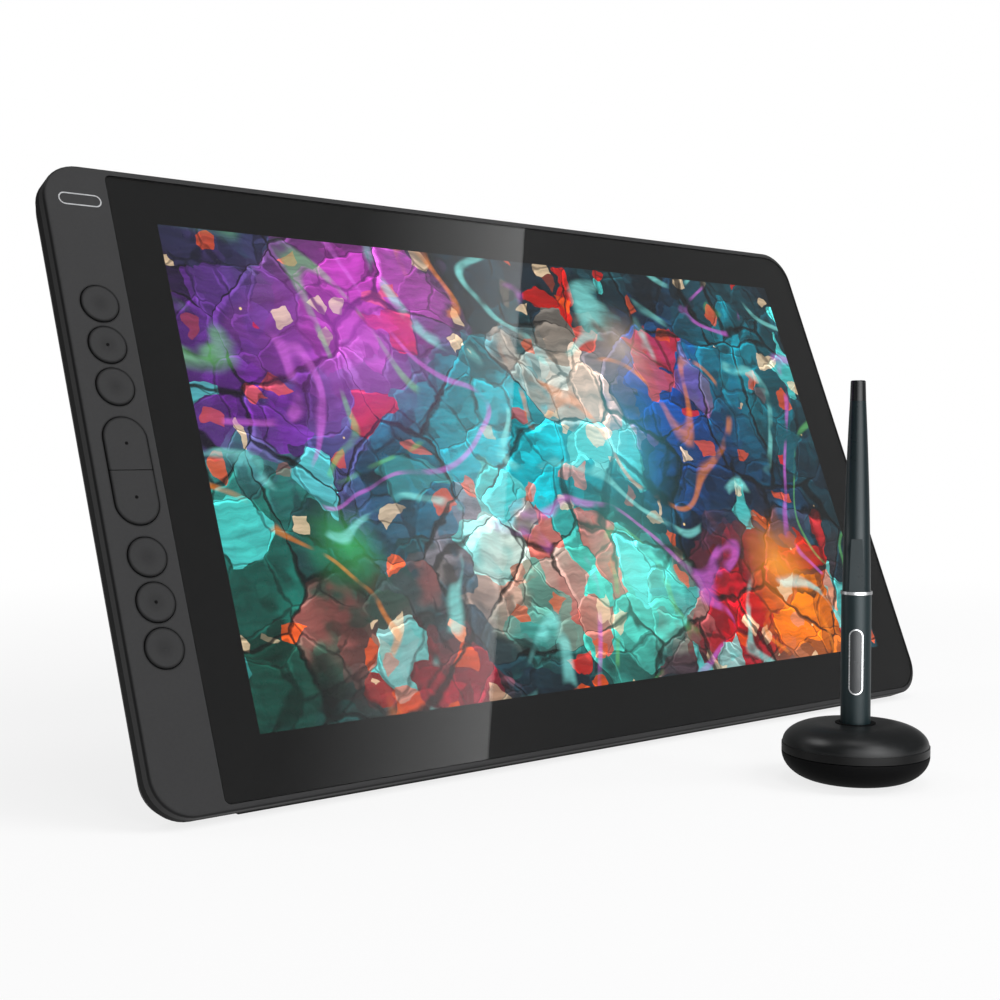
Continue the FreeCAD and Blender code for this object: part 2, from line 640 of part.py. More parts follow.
def raked_slab(body, name, low, high, corner, cut=False):
    """A plate like a slab that narrows from its front to its back by the rake of the rear cover."""
    width, height, depth = (f"({end}) - ({start})" for start, end in zip(low, high))
    sketch = new_sketch(body, name + "Outline", "XY", (low[0], low[1], high[2]))
    draw_rounded(sketch, width, height, corner, corner)
    feature = raise_sketch(body, sketch, name, depth, cut)
    feature.Reversed = not cut
    bind(feature, "TaperAngle", "recline - 90")
    return feature


def pill(body, name, middle, long, short, depth, plane="XY", level=False, cut=False):
    """A pill raised from a point, along the normal of a plane."""
    sketch = new_sketch(body, name + "Outline", plane, middle)
    draw_pill(sketch, long, short, level)
    return raise_sketch(body, sketch, name, depth, cut)


def add_oval(sketch, start, end, middle):
    """A quarter of an oval between two points, about a middle; returns the end that start lies on."""
    from_start = start - middle
    from_end = end - middle
    wide = max(abs(from_start.x), abs(from_end.x))
    tall = max(abs(from_start.y), abs(from_end.y))
    level = wide >= tall
    along = FreeCAD.Vector(1, 0, 0) if level else FreeCAD.Vector(0, 1, 0)
    across = FreeCAD.Vector(0, 0, 1).cross(along)
    major, minor = (wide, tall) if level else (tall, wide)
    oval = Part.Ellipse(middle + along * major, middle + across * minor, middle)
    angles = [math.atan2(point.dot(across) / minor, point.dot(along) / major) for point in (from_start, from_end)]
    forward = from_start.cross(from_end).z > 0
    first, last = angles if forward else reversed(angles)
    if last < first:
        last += 2 * math.pi
    index = sketch.addGeometry(Part.ArcOfEllipse(oval, first, last), False)
    sketch.exposeInternalGeometry(index)
    tie(sketch, "Horizontal" if level else "Vertical", index + 1)
    return index, forward


def add_bow(sketch, start, end, radius, side):
    """An arc between two points that bows to the right of their line, or left when side is -1."""
    half = (end - start) / 2
    outward = FreeCAD.Vector(half.y, -half.x, 0).normalize() * side
    sagitta = radius - math.sqrt(radius ** 2 - half.Length ** 2)
    middle = start + half + outward * (sagitta - radius)
    first = math.degrees(math.atan2(start.y - middle.y, start.x - middle.x))
    last = math.degrees(math.atan2(end.y - middle.y, end.x - middle.x))
    forward = side > 0
    if not forward:
        first, last = last, first
    if last < first:
        last += 360
    return sketch.addGeometry(arc((middle.x, middle.y), radius, first, last), False), forward


def draw_turned(sketch, corners):
    """A closed outline right of the axis; a corner is x, y and what follows it: nothing for a straight
    side, ("bow", radius, side) for an arc, ("oval", x, y) for a quarter oval about that middle."""
    points = [FreeCAD.Vector(value(corner[0]), value(corner[1]), 0) for corner in corners]
    sides = []
    for index, corner in enumerate(corners):
        start = points[index]
        end = points[(index + 1) % len(points)]
        kind = corner[2] if len(corner) > 2 else ("line",)
        if kind[0] == "line":
            sides.append((sketch.addGeometry(Part.LineSegment(start, end), False), True))
        elif kind[0] == "bow":
            sides.append(add_bow(sketch, start, end, value(kind[1]), kind[2]))
            limit(sketch, "Radius", sides[-1][0], kind[1])
        else:
            sides.append(add_oval(sketch, start, end, FreeCAD.Vector(value(kind[1]), value(kind[2]), 0)))
            place_point(sketch, sides[-1][0], 3, kind[1], kind[2])
    for index, corner in enumerate(corners):
        here, forward = sides[index]
        before, before_forward = sides[index - 1]
        tie(sketch, "Coincident", before, 2 if before_forward else 1, here, 1 if forward else 2)
        place_point(sketch, here, 1 if forward else 2, corner[0], corner[1])


def place_point(sketch, index, end, x, y):
    """Hold a point of the sketch at a distance from its origin along each axis."""
    for kind, text, axis in (("DistanceX", x, -2), ("DistanceY", y, -1)):
        if text == "0":
            tie(sketch, "PointOnObject", index, end, axis)
        else:
            limit(sketch, kind, -1, 1, index, end, text)


def turned(body, name, corners, cut=False):
    """A solid of revolution about the body's z axis."""
    sketch = new_sketch(body, name + "Outline", "XZ", ("0", "0", "0"))
    draw_turned(sketch, corners)
    feature = body.newObject("PartDesign::" + ("Groove" if cut else "Revolution"), name)
    feature.Profile = sketch
    feature.ReferenceAxis = (sketch, ["V_Axis"])
    feature.Angle = 360
    return feature


def tube(body, name, low, outer, inner, length):
    """A short pipe, standing."""
    rod(body, name, low, outer, length)
    rod(body, name + "Bore", low, inner, length, cut=True)


def round_edges(body, name, depth, radius):
    """Round the outer edges that lie at one depth."""
    doc.recompute()
    level = value(depth)
    base = body.Tip
    edges = [f"Edge{number}" for number, edge in enumerate(base.Shape.Edges, 1)
             if abs(edge.BoundBox.ZMin - level) < 1e-4 and abs(edge.BoundBox.ZMax - level) < 1e-4]
    fillet = body.newObject("PartDesign::Fillet", name)
    fillet.Base = (base, edges)
    bind(fillet, "Radius", radius)
    return fillet


def screw(body, name, at, seat, tip, shank, head, head_rise):
    """A pan head screw from the back: the head sits at the depth of its seat."""
    x, y = at
    rod(body, name + "Shank", (x, y, f"-({seat})"), shank, f"({seat}) - ({tip})")
    rod(body, name + "Head", (x, y, f"-({seat}) - ({head_rise})"), head, head_rise)


# Places that repeat

def key_y(number):
    """Height of a key's centre on the face."""
    if number in SPLIT_KEYS:
        return f"(keyMiddle + {SPLIT_KEYS[number]} * pillLength / 4)"
    side, steps = ROUND_KEYS[number]
    return f"(keyMiddle + {side} * (keyFirst + {steps} * keyPitch))"


def cover_screw_spots():
    columns = (f"-{SIDE} + screwCorner", "-screwInner", "screwInner", f"{SIDE} - screwCorner")
    return [(x, y) for y in ("screwInset", "bodyHeight - screwInset") for x in columns]


def chassis_screw_spots():
    columns = (f"{TRAY_LEFT} - chassisSide + postInset", f"{TRAY_RIGHT} + chassisSide - postInset")
    return [(x, f"{TRAY_MIDDLE} + {row} * postSpread") for row in (-1, 0, 1) for x in columns]


def board_screw_spots():
    return [(x, y) for x in ("boardLeft + standoffInset", "boardRight - standoffInset")
            for y in ("boardLow + standoffInset", "boardHigh - standoffInset")]


def key_post_spots():
    ends = [(f"{KEY_X} + {side} * keyPostSide", y) for side in (-1, 1)
            for y in (f"{BAY_LOW} + keyPostEnd", f"{BAY_HIGH} - keyPostEnd")]
    middle = [(f"{BAY_LEFT} + keyPostInset", f"keyMiddle + {side} * keyPostRise") for side in (-1, 1)]
    return ends + middle


def rear_foot_spots():
    return [(f"{side} * ({SIDE} - footInset)", y) for side in (-1, 1)
            for y in ("footEdge", "bodyHeight - footEdge")]


# Front of the tablet

def front_frame():
    body = new_body("front_frame", leaned)
    slab(body, "Shell", (f"-{SIDE}", "0", "-frameDepth"), (SIDE, "bodyHeight", "0"), "cornerRadius")
    round_edges(body, "FrontRound", "0", "edgeRound")
    slab(body, "GlassSeat", (GLASS_LEFT, "bottomRim", f"-{SEAT}"),
         (f"{SIDE} - rightRim", "bodyHeight - topRim", "cutOver"),
         "glassCorner", "cornerRadius - rightRim", cut=True)
    slab(body, "Cavity", (f"-{SIDE} + frameWall", "frameWall", "-frameDepth - cutOver"),
         (f"{SIDE} - frameWall", "bodyHeight - frameWall", f"-{LEDGE}"), "cornerRadius - frameWall", cut=True)
    block(body, "Window", (f"{CELL_LEFT} - windowGap", f"{CELL_LOW} - windowGap", f"-{LEDGE} - cutOver"),
          (f"{CELL_RIGHT} + windowGap", f"{CELL_HIGH} + windowGap", f"-{SEAT} + cutOver"), cut=True)
    block(body, "KeyBay", (BAY_LEFT, BAY_LOW, "-frameDepth"), (BAY_RIGHT, BAY_HIGH, f"-{SEAT}"), cut=True)
    for number in ROUND_KEYS:
        rod(body, f"KeyHole{number}", (KEY_X, key_y(number), f"-{LEDGE}"), "keyRadius + keyGap",
            f"{LEDGE} + cutOver", cut=True)
    pill(body, "LongKeyHole", (KEY_X, "keyMiddle", f"-{LEDGE}"), "pillLength + 2 * keyGap",
         "pillWidth + 2 * keyGap", f"{LEDGE} + cutOver", cut=True)
    pill(body, "BadgeGroove", (KEY_X, BADGE_Y, "-badgeDepth"), "badgeWidth", "badgeHeight",
         "badgeDepth + cutOver", level=True, cut=True)
    pill(body, "BadgeIsland", (KEY_X, BADGE_Y, "-badgeDepth"), "badgeWidth - 2 * badgeBand",
         "badgeHeight - 2 * badgeBand", "badgeDepth", level=True)
    frame_bosses(body)


def frame_bosses(body):
    """Bosses for the cover, the chassis and the key board, each with its hole."""
    groups = ((cover_screw_spots(), "CoverBoss", "sideDepth", LEDGE, "bossRadius", "coverScrew"),
              (chassis_screw_spots(), "ChassisPost", CHASSIS_TOP, LEDGE, "postRadius", "smallScrew"),
              (key_post_spots(), "KeyPost", KEY_BOARD_TOP, SEAT, "postRadius", "smallScrew"))
    for spots, name, end, root, radius, shank in groups:
        for number, (x, y) in enumerate(spots, 1):
            rod(body, f"{name}{number}", (x, y, f"-({end})"), radius, f"({end}) - ({root})")
    for spots, name, end, root, radius, shank in groups:
        for number, (x, y) in enumerate(spots, 1):
            rod(body, f"{name}Hole{number}", (x, y, f"-({end}) - cutOver"), f"{shank} + screwGap",
                f"({end}) - ({root}) - tipGap + cutOver", cut=True)


def cover_glass():
    body = new_body("cover_glass", leaned)
    slab(body, "Pane", (f"{GLASS_LEFT} + glassGap", "bottomRim + glassGap", f"-{CELL_TOP}"),
         (f"{SIDE} - rightRim - glassGap", "bodyHeight - topRim - glassGap", "-glassSink"),
         "glassCorner - glassGap", "cornerRadius - rightRim - glassGap")


def glass_tape():
    body = new_body("glass_tape", leaned)
    slab(body, "Sheet", (f"{GLASS_LEFT} + tapeInset", "bottomRim + tapeInset", f"-{SEAT}"),
         (f"{SIDE} - rightRim - tapeInset", "bodyHeight - topRim - tapeInset", f"-{CELL_TOP}"),
         "glassCorner - tapeInset", "cornerRadius - rightRim - tapeInset")
    block(body, "Opening", (f"{CELL_LEFT} - tapeInset", f"{CELL_LOW} - tapeInset", f"-{SEAT} - cutOver"),
          (f"{CELL_RIGHT} + tapeInset", f"{CELL_HIGH} + tapeInset", "0"), cut=True)


def badge_ring():
    body = new_body("badge_ring", leaned)
    pill(body, "Band", (KEY_X, BADGE_Y, "-badgeDepth"), "badgeWidth - 2 * badgeGap",
         "badgeHeight - 2 * badgeGap", "badgeDepth", level=True)
    pill(body, "BandOpening", (KEY_X, BADGE_Y, "-badgeDepth - cutOver"),
         "badgeWidth - 2 * badgeBand + 2 * badgeGap", "badgeHeight - 2 * badgeBand + 2 * badgeGap",
         "badgeDepth + 2 * cutOver", level=True, cut=True)


# Display stack

def plate(name, low, high):
    """A plain sheet of the stack."""
    body = new_body(name, leaned)
    block(body, "Sheet", low, high)
    return body


def display_stack():
    plate("lcd_cell", (CELL_LEFT, CELL_LOW, f"-{FILM_TOP}"), (CELL_RIGHT, CELL_HIGH, f"-{CELL_TOP}"))
    plate("optical_films", (FILM_LEFT, FILM_LOW, f"-{GUIDE_TOP}"), (FILM_RIGHT, FILM_HIGH, f"-{FILM_TOP}"))
    plate("light_guide", (FILM_LEFT, FILM_LOW, f"-{TRAY_TOP}"), (FILM_RIGHT, FILM_HIGH, f"-{GUIDE_TOP}"))


def led_bar():
    body = new_body("led_bar", leaned)
    top = f"{FILM_LOW} - barGap"
    block(body, "Strip", (FILM_LEFT, f"{top} - barWidth", f"-{TRAY_TOP}"),
          (FILM_RIGHT, f"{top} - lampDeep", f"-{GUIDE_TOP}"))
    lamp = block(body, "Lamp", (f"{FILM_LEFT} + lampInset", f"{top} - lampDeep", f"-{TRAY_TOP}"),
                 (f"{FILM_LEFT} + lampInset + lampWidth", top, f"-{GUIDE_TOP}"))
    repeat_along_x(body, "Lamps", lamp, "lampCount", "lampPitch")


def repeat_along_x(body, name, feature, count, pitch):
    pattern = body.newObject("PartDesign::LinearPattern", name)
    pattern.Originals = [feature]
    x_axis = next(item for item in body.Origin.OriginFeatures if item.Role == "X_Axis")
    pattern.Direction = (x_axis, [""])
    bind(pattern, "Length", f"({count} - 1) * {pitch}")
    bind(pattern, "Occurrences", count)
    body.Tip = pattern
    return pattern


def backlight_tray():
    body = new_body("backlight_tray", leaned)
    block(body, "Tray", (TRAY_LEFT, TRAY_LOW, f"-{DIGITIZER_TOP}"), (TRAY_RIGHT, TRAY_HIGH, f"-{LEDGE} - rimGap"))
    block(body, "Hollow", (f"{TRAY_LEFT} + trayRim", f"{TRAY_LOW} + trayRim", f"-{TRAY_TOP}"),
          (f"{TRAY_RIGHT} - trayRim", f"{TRAY_HIGH} - trayRim", "0"), cut=True)
    block(body, "RibbonNotch", ("wideFlexStart - slotMargin", f"{TRAY_LOW} - cutOver", f"-{GUIDE_TOP} - cutOver"),
          ("wideFlexStart + wideFlex + slotMargin", f"{TRAY_LOW} + trayRim + cutOver", "0"), cut=True)


def digitizer_board():
    plate("digitizer_board",
          (f"{TRAY_LEFT} - digitizerEdge", f"{TRAY_LOW} - digitizerEdge", f"-{CHASSIS_TOP}"),
          (f"{TRAY_RIGHT} + digitizerEdge", f"{TRAY_HIGH} + digitizerEdge", f"-{DIGITIZER_TOP}"))


def chassis_plate():
    body = new_body("chassis_plate", leaned)
    slab(body, "Plate", (f"{TRAY_LEFT} - chassisSide", f"{TRAY_LOW} - chassisFoot", f"-{CHASSIS_BACK}"),
         (f"{TRAY_RIGHT} + chassisSide", f"{TRAY_HIGH} + chassisEdge", f"-{CHASSIS_TOP}"), "chassisCorner")
    for number, (x, y) in enumerate(board_screw_spots(), 1):
        rod(body, f"Standoff{number}", (x, y, f"-{BOARD_TOP}"), "standoffRadius", "standoffRise")
    for number, (x, y) in enumerate(board_screw_spots() + chassis_screw_spots(), 1):
        rod(body, f"Hole{number}", (x, y, f"-{BOARD_TOP} - cutOver"), "smallScrew + screwGap",
            f"{BOARD_TOP} - {CHASSIS_TOP} + 2 * cutOver", cut=True)
    block(body, "WideSlot", ("wideFlexStart - slotMargin", f"{SLOT_Y} - slotWidth / 2", f"-{CHASSIS_BACK} - cutOver"),
          ("wideFlexStart + wideFlex + slotMargin", f"{SLOT_Y} + slotWidth / 2", "0"), cut=True)
    block(body, "ShortSlot",
          ("shortFlexStart - slotMargin", f"{SHORT_SLOT_Y} - slotWidth / 2", f"-{CHASSIS_BACK} - cutOver"),
          ("shortFlexStart + shortFlex + slotMargin", f"{SHORT_SLOT_Y} + slotWidth / 2", "0"), cut=True)


# Boards, sockets and ribbons

def main_board():
    body = plate("main_board", ("boardLeft", "boardLow", f"-{BOARD_BACK}"), ("boardRight", "boardHigh", f"-{BOARD_TOP}"))
    for number, (x, y) in enumerate(board_screw_spots(), 1):
        rod(body, f"Hole{number}", (x, y, f"-{BOARD_BACK} - cutOver"), "smallScrew + screwGap",
            "boardThick + 2 * cutOver", cut=True)


CHIPS = [  # name, distances from the board's left and lower edge, length, width, height
    ("Processor", 30, 52, 15, 15, 1.6),
    ("Memory", 50, 54, 11, 13, 1.1),
    ("ScreenDriver", 30, 76, 11, 11, 1.3),
    ("PenController", 30, 99, 9, 9, 1.2),
    ("Coil", 53, 24, 7, 7, 2.6),
    ("Regulator", 42, 25, 6, 5, 1.5),
    ("Flash", 48, 84, 6, 5, 1.6),
    ("Capacitor", 62, 74, 4, 4, 2.6),
]


def main_board_chips():
    body = new_body("main_board_chips", leaned)
    for name, x, y, length, width, rise in CHIPS:
        block(body, name, (f"boardLeft + {x}", f"boardLow + {y}", f"-{BOARD_BACK} - {rise}"),
              (f"boardLeft + {x + length}", f"boardLow + {y + width}", f"-{BOARD_BACK}"))
    block(body, "IndicatorLamp",
          ("boardRight - lampBlock", "lensRise - lampBlock / 2", f"-{BOARD_BACK} - lampDrop"),
          ("boardRight", "lensRise + lampBlock / 2", f"-{BOARD_BACK}"))


def ribbon_connectors():
    """One under the key board, three on the front of the main board."""
    body = new_body("ribbon_connectors", leaned)
    block(body, "KeyBoardEnd",
          (f"{KEY_X} - plugDepth / 2", "flexRise + flexWidth / 2 - plugBroad / 2", f"-{KEY_BOARD_BACK} - plugRise"),
          (f"{KEY_X} + plugDepth / 2", "flexRise + flexWidth / 2 + plugBroad / 2", f"-{KEY_BOARD_BACK}"))
    block(body, "KeyEnd", ("boardLeft", "flexRise + flexWidth / 2 - plugBroad / 2", f"-{BOARD_TOP}"),
          ("boardLeft + plugDepth", "flexRise + flexWidth / 2 + plugBroad / 2", f"-{BOARD_TOP} + plugRise"))
    block(body, "DisplayEnd", ("wideFlexStart - slotMargin", "boardLow", f"-{BOARD_TOP}"),
          ("wideFlexStart + wideFlex + slotMargin", "boardLow + plugDepth", f"-{BOARD_TOP} + plugRise"))
    block(body, "PenBoardEnd", ("shortFlexStart - slotMargin", "boardHigh - plugDepth", f"-{BOARD_TOP}"),
          ("shortFlexStart + shortFlex + slotMargin", "boardHigh", f"-{BOARD_TOP} + plugRise"))


def usb_sockets():
    body = new_body("usb_sockets", leaned)
    mouth = f"{SIDE} - socketSetback"
    for name, rise in (("Lower", "lowerSocket"), ("Upper", "upperSocket")):
        pill(body, f"{name}Shell", (f"{mouth} - socketLength", rise, f"-{SOCKET_DEPTH}"), "socketWidth",
             "socketHeight", "socketLength", plane="YZ", level=True)
        pill(body, f"{name}Mouth", (f"{mouth} - socketLength + cutOver", rise, f"-{SOCKET_DEPTH}"),
             "socketWidth - 2 * socketWall", "socketHeight - 2 * socketWall", "socketLength",
             plane="YZ", level=True, cut=True)
        block(body, f"{name}Tongue",
              (f"{mouth} - socketLength + cutOver / 2", f"{rise} - tongueWidth / 2", f"-{SOCKET_DEPTH} - tongueThick / 2"),
              (f"{mouth} - cutOver", f"{rise} + tongueWidth / 2", f"-{SOCKET_DEPTH} + tongueThick / 2"))


def flex(name, runs):
    """A flat ribbon as joined straight runs."""
    body = new_body(name, leaned)
    for number, (low, high) in enumerate(runs, 1):
        block(body, f"Run{number}", low, high)


def key_ribbon():
    start, end = "flexRise", "flexRise + flexWidth"
    low = f"-{KEY_BOARD_BACK} - plugRise / 2 - flexThick"
    turn = f"{TRAY_LEFT} - chassisSide - slotWidth"
    board = f"-{BOARD_TOP} + plugRise / 2 - flexThick"
    back = f"-{CHASSIS_BACK}"
    flex("key_ribbon", [
        ((f"{KEY_X} + plugDepth / 2", start, low), (turn, end, f"{low} + flexThick")),
        ((f"{turn} - flexThick", start, low), (turn, end, back)),
        ((f"{turn} - flexThick", start, f"{back} - flexThick"), ("boardLeft - bendRoom", end, back)),
        (("boardLeft - bendRoom - flexThick", start, board), ("boardLeft - bendRoom", end, back)),
        (("boardLeft - bendRoom - flexThick", start, board), ("boardLeft", end, f"{board} + flexThick"))])


def display_ribbon():
    left, right = "wideFlexStart", "wideFlexStart + wideFlex"
    cell = f"-{FILM_TOP}"
    under = f"-{LEDGE} - 2 * rimGap"
    back = f"-{CHASSIS_BACK}"
    board = f"-{BOARD_TOP} + plugRise / 2 - flexThick"
    turn = "boardLow - bendRoom"
    flex("display_ribbon", [
        ((left, CELL_LOW, f"{cell} - flexThick"), (right, f"{FILM_LOW} - barGap", cell)),
        ((left, CELL_LOW, f"{under} - flexThick"), (right, f"{CELL_LOW} + flexThick", cell)),
        ((left, f"{SLOT_Y} - flexThick / 2", f"{under} - flexThick"), (right, f"{CELL_LOW} + flexThick", under)),
        ((left, f"{SLOT_Y} - flexThick / 2", f"{back} - flexThick"), (right, f"{SLOT_Y} + flexThick / 2", under)),
        ((left, f"{SLOT_Y} - flexThick / 2", f"{back} - flexThick"), (right, turn, back)),
        ((left, f"{turn} - flexThick", board), (right, turn, back)),
        ((left, f"{turn} - flexThick", board), (right, "boardLow", f"{board} + flexThick"))])


def digitizer_ribbon():
    left, right = "shortFlexStart", "shortFlexStart + shortFlex"
    back = f"-{CHASSIS_BACK}"
    board = f"-{BOARD_TOP} + plugRise / 2 - flexThick"
    turn = "boardHigh + bendRoom"
    flex("digitizer_ribbon", [
        ((left, f"{SHORT_SLOT_Y} - flexThick / 2", f"{back} - flexThick"),
         (right, f"{SHORT_SLOT_Y} + flexThick / 2", f"-{CHASSIS_TOP}")),
        ((left, turn, f"{back} - flexThick"), (right, f"{SHORT_SLOT_Y} + flexThick / 2", back)),
        ((left, turn, board), (right, f"{turn} + flexThick", back)),
        ((left, "boardHigh", board), (right, f"{turn} + flexThick", f"{board} + flexThick"))])


# Keys, power button and lens

def key_board():
    body = plate("key_board", (f"{BAY_LEFT} + keyBoardGap", f"{BAY_LOW} + keyBoardGap", f"-{KEY_BOARD_BACK}"),
                 (f"{BAY_RIGHT} - keyBoardGap", f"{BAY_HIGH} - keyBoardGap", f"-{KEY_BOARD_TOP}"))
    for number, (x, y) in enumerate(key_post_spots(), 1):
        rod(body, f"Hole{number}", (x, y, f"-{KEY_BOARD_BACK} - cutOver"), "smallScrew + screwGap",
            "keyBoardThick + 2 * cutOver", cut=True)


def key_switches():
    body = new_body("key_switches", leaned)
    for number in sorted((*ROUND_KEYS, *SPLIT_KEYS)):
        y = key_y(number)
        block(body, f"Switch{number}", (f"{KEY_X} - switchSide / 2", f"{y} - switchSide / 2", f"-{KEY_BOARD_TOP}"),
              (f"{KEY_X} + switchSide / 2", f"{y} + switchSide / 2", f"-{SWITCH_TOP}"))
        rod(body, f"Plunger{number}", (KEY_X, y, f"-{SWITCH_TOP}"), "plungerRadius", "plungerRise")


def key_mark(body, number, floor):
    """A raised dot for the finger on some of the keys."""
    if number in MARKED_KEYS:
        rod(body, "Mark", (KEY_X, key_y(number), "-flangeThick"), "markRadius", f"flangeThick + keyProud + {floor}")


def round_key(number):
    body = new_body(f"key_{number}", leaned)
    y = key_y(number)
    rod(body, "Cap", (KEY_X, y, f"-{SEAT}"), "keyRadius", f"{SEAT} + keyProud")
    round_edges(body, "CapRound", "keyProud", "keyRound")
    dish = "((keyDishRadius ^ 2 + keyDish ^ 2) / (2 * keyDish))"
    ball = body.newObject("PartDesign::SubtractiveSphere", "Dish")
    bind_place(ball, (KEY_X, y, f"keyProud + {dish} - keyDish"))
    bind(ball, "Radius", dish)
    rod(body, "Flange", (KEY_X, y, f"-{FLANGE_BACK}"), "keyRadius + keyGap + keyFlange", "flangeThick")
    rod(body, "Stem", (KEY_X, y, f"-{STEM_END}"), "stemRadius", "stemLength")
    key_mark(body, number, "markRise - keyDish")


def split_key(number):
    body = new_body(f"key_{number}", leaned)
    side = SPLIT_KEYS[number]
    middle = "keyMiddle"
    pill(body, "Cap", (KEY_X, middle, f"-{SEAT}"), "pillLength", "pillWidth", f"{SEAT} + keyProud")
    round_edges(body, "CapRound", "keyProud", "keyRound")
    pill(body, "Flange", (KEY_X, middle, f"-{FLANGE_BACK}"), "pillLength + 2 * keyGap + 2 * keyFlange",
         "pillWidth + 2 * keyGap + 2 * keyFlange", "flangeThick")
    near = f"{middle} + {side} * pillSplit / 2"
    far = f"{middle} - {side} * pillLength"
    low, high = (far, near) if side > 0 else (near, far)
    block(body, "OtherHalf", (f"{KEY_X} - pillWidth", low, f"-{FLANGE_BACK} - cutOver"),
          (f"{KEY_X} + pillWidth", high, "cutOver"), cut=True)
    rod(body, "Stem", (KEY_X, key_y(number), f"-{STEM_END}"), "stemRadius", "stemLength")
    key_mark(body, number, "markRise")


def power_button():
    body = new_body("power_button", leaned)
    seat = f"{SIDE} - buttonSeat"
    pill(body, "Flange", (f"{seat} - flangeThick", "buttonRise", f"-{SIDE_PORT}"), "buttonLength + 2 * buttonFlange",
         "buttonWidth + 2 * buttonFlange", "flangeThick", plane="YZ", level=True)
    pill(body, "Cap", (seat, "buttonRise", f"-{SIDE_PORT}"), "buttonLength", "buttonWidth",
         "buttonSeat - buttonFace", plane="YZ", level=True)


def power_switch():
    body = new_body("power_switch", leaned)
    tip = f"{SIDE} - buttonSeat - flangeThick - buttonTravel - pressGap"
    block(body, "Switch", (f"{tip} - plungerRise * 2 - powerSwitchDeep", "buttonRise - powerSwitchHalf",
                           f"-{BOARD_BACK} - powerSwitchDrop"),
          (f"{tip} - plungerRise * 2", "buttonRise + powerSwitchHalf", f"-{BOARD_BACK}"))
    rod(body, "Plunger", (f"{tip} - plungerRise * 2", "buttonRise", f"-{SIDE_PORT}"), "plungerRadius",
        "plungerRise * 2", along="x")


def indicator_lens():
    body = new_body("indicator_lens", leaned)
    rod(body, "Lens", ("boardRight", "lensRise", f"-{SIDE_PORT}"), "lensRadius",
        f"{SIDE} - lensFace - boardRight", along="x")


# Rear cover, feet and screws

def rear_cover():
    body = new_body("rear_cover", leaned)
    raked_slab(body, "Shell", (f"-{SIDE}", "0", f"-{BACK}"), (SIDE, "bodyHeight", "-sideDepth"), "cornerRadius")
    round_edges(body, "BackRound", f"-{BACK}", "backRound")
    slab(body, "UprightSides", (f"-{SIDE}", "0", "-sideDepth"), (SIDE, "bodyHeight", "-frameDepth"), "cornerRadius")
    raked_slab(body, "Hollow", (f"-{SIDE} + frameWall", "frameWall", f"-{INNER_BACK}"),
               (f"{SIDE} - frameWall", "bodyHeight - frameWall", "-sideDepth"),
               "cornerRadius - frameWall", cut=True)
    inset = "(frameWall + lipGap + lipThick / 2)"
    slab(body, "UprightHollow", (f"-{SIDE} + {inset}", inset, "-sideDepth"),
         (f"{SIDE} - {inset}", f"bodyHeight - {inset}", "-frameDepth + cutOver"), f"cornerRadius - {inset}", cut=True)
    cover_lip(body)
    cover_pillars(body)
    cover_recess(body)
    cover_openings(body)


def cover_lip(body):
    """A lip that locates the cover inside the frame."""
    outer = "(frameWall + lipGap)"
    inner = "(frameWall + lipGap + lipThick)"
    slab(body, "Lip", (f"-{SIDE} + {outer}", outer, "-frameDepth - lipRoot"),
         (f"{SIDE} - {outer}", f"bodyHeight - {outer}", "-frameDepth + lipRise"), f"cornerRadius - {outer}")
    slab(body, "LipOpening", (f"-{SIDE} + {inner}", inner, "-frameDepth - lipRoot - cutOver"),
         (f"{SIDE} - {inner}", f"bodyHeight - {inner}", "-frameDepth + lipRise + cutOver"),
         f"cornerRadius - {inner}", cut=True)


def cover_pillars(body):
    for number, (x, y) in enumerate(cover_screw_spots(), 1):
        rod(body, f"Pillar{number}", (x, y, f"-{INNER_BACK} - coverWall / 2"), "bossRadius",
            f"{INNER_BACK} + coverWall / 2 - sideDepth")
    for number, (x, y) in enumerate(cover_screw_spots(), 1):
        rod(body, f"HeadHole{number}", (x, y, f"-{BACK} - cutOver"), "coverHead + headGap",
            "headSink + cutOver", cut=True)
        rod(body, f"ShankHole{number}", (x, y, f"-{BACK}"), "coverScrew + screwGap",
            f"{BACK} - sideDepth + cutOver", cut=True)


def cover_recess(body):
    """The recess that the leg folds into, with its own floor and walls."""
    half = "legWidth / 2 + recessGap"
    low = f"hingeRise - {LEG_REACH} - footOver - recessGap"
    high = "hingeRise + recessHead"
    block(body, "RecessWalls", (f"-({half}) - coverWall", f"{low} - coverWall", f"-{INNER_BACK} - coverWall / 2"),
          (f"{half} + coverWall", f"{high} + coverWall", f"-{RECESS_FLOOR} + coverWall"))
    block(body, "Recess", (f"-({half})", low, f"-{BACK} - cutOver"), (half, high, f"-{RECESS_FLOOR}"), cut=True)


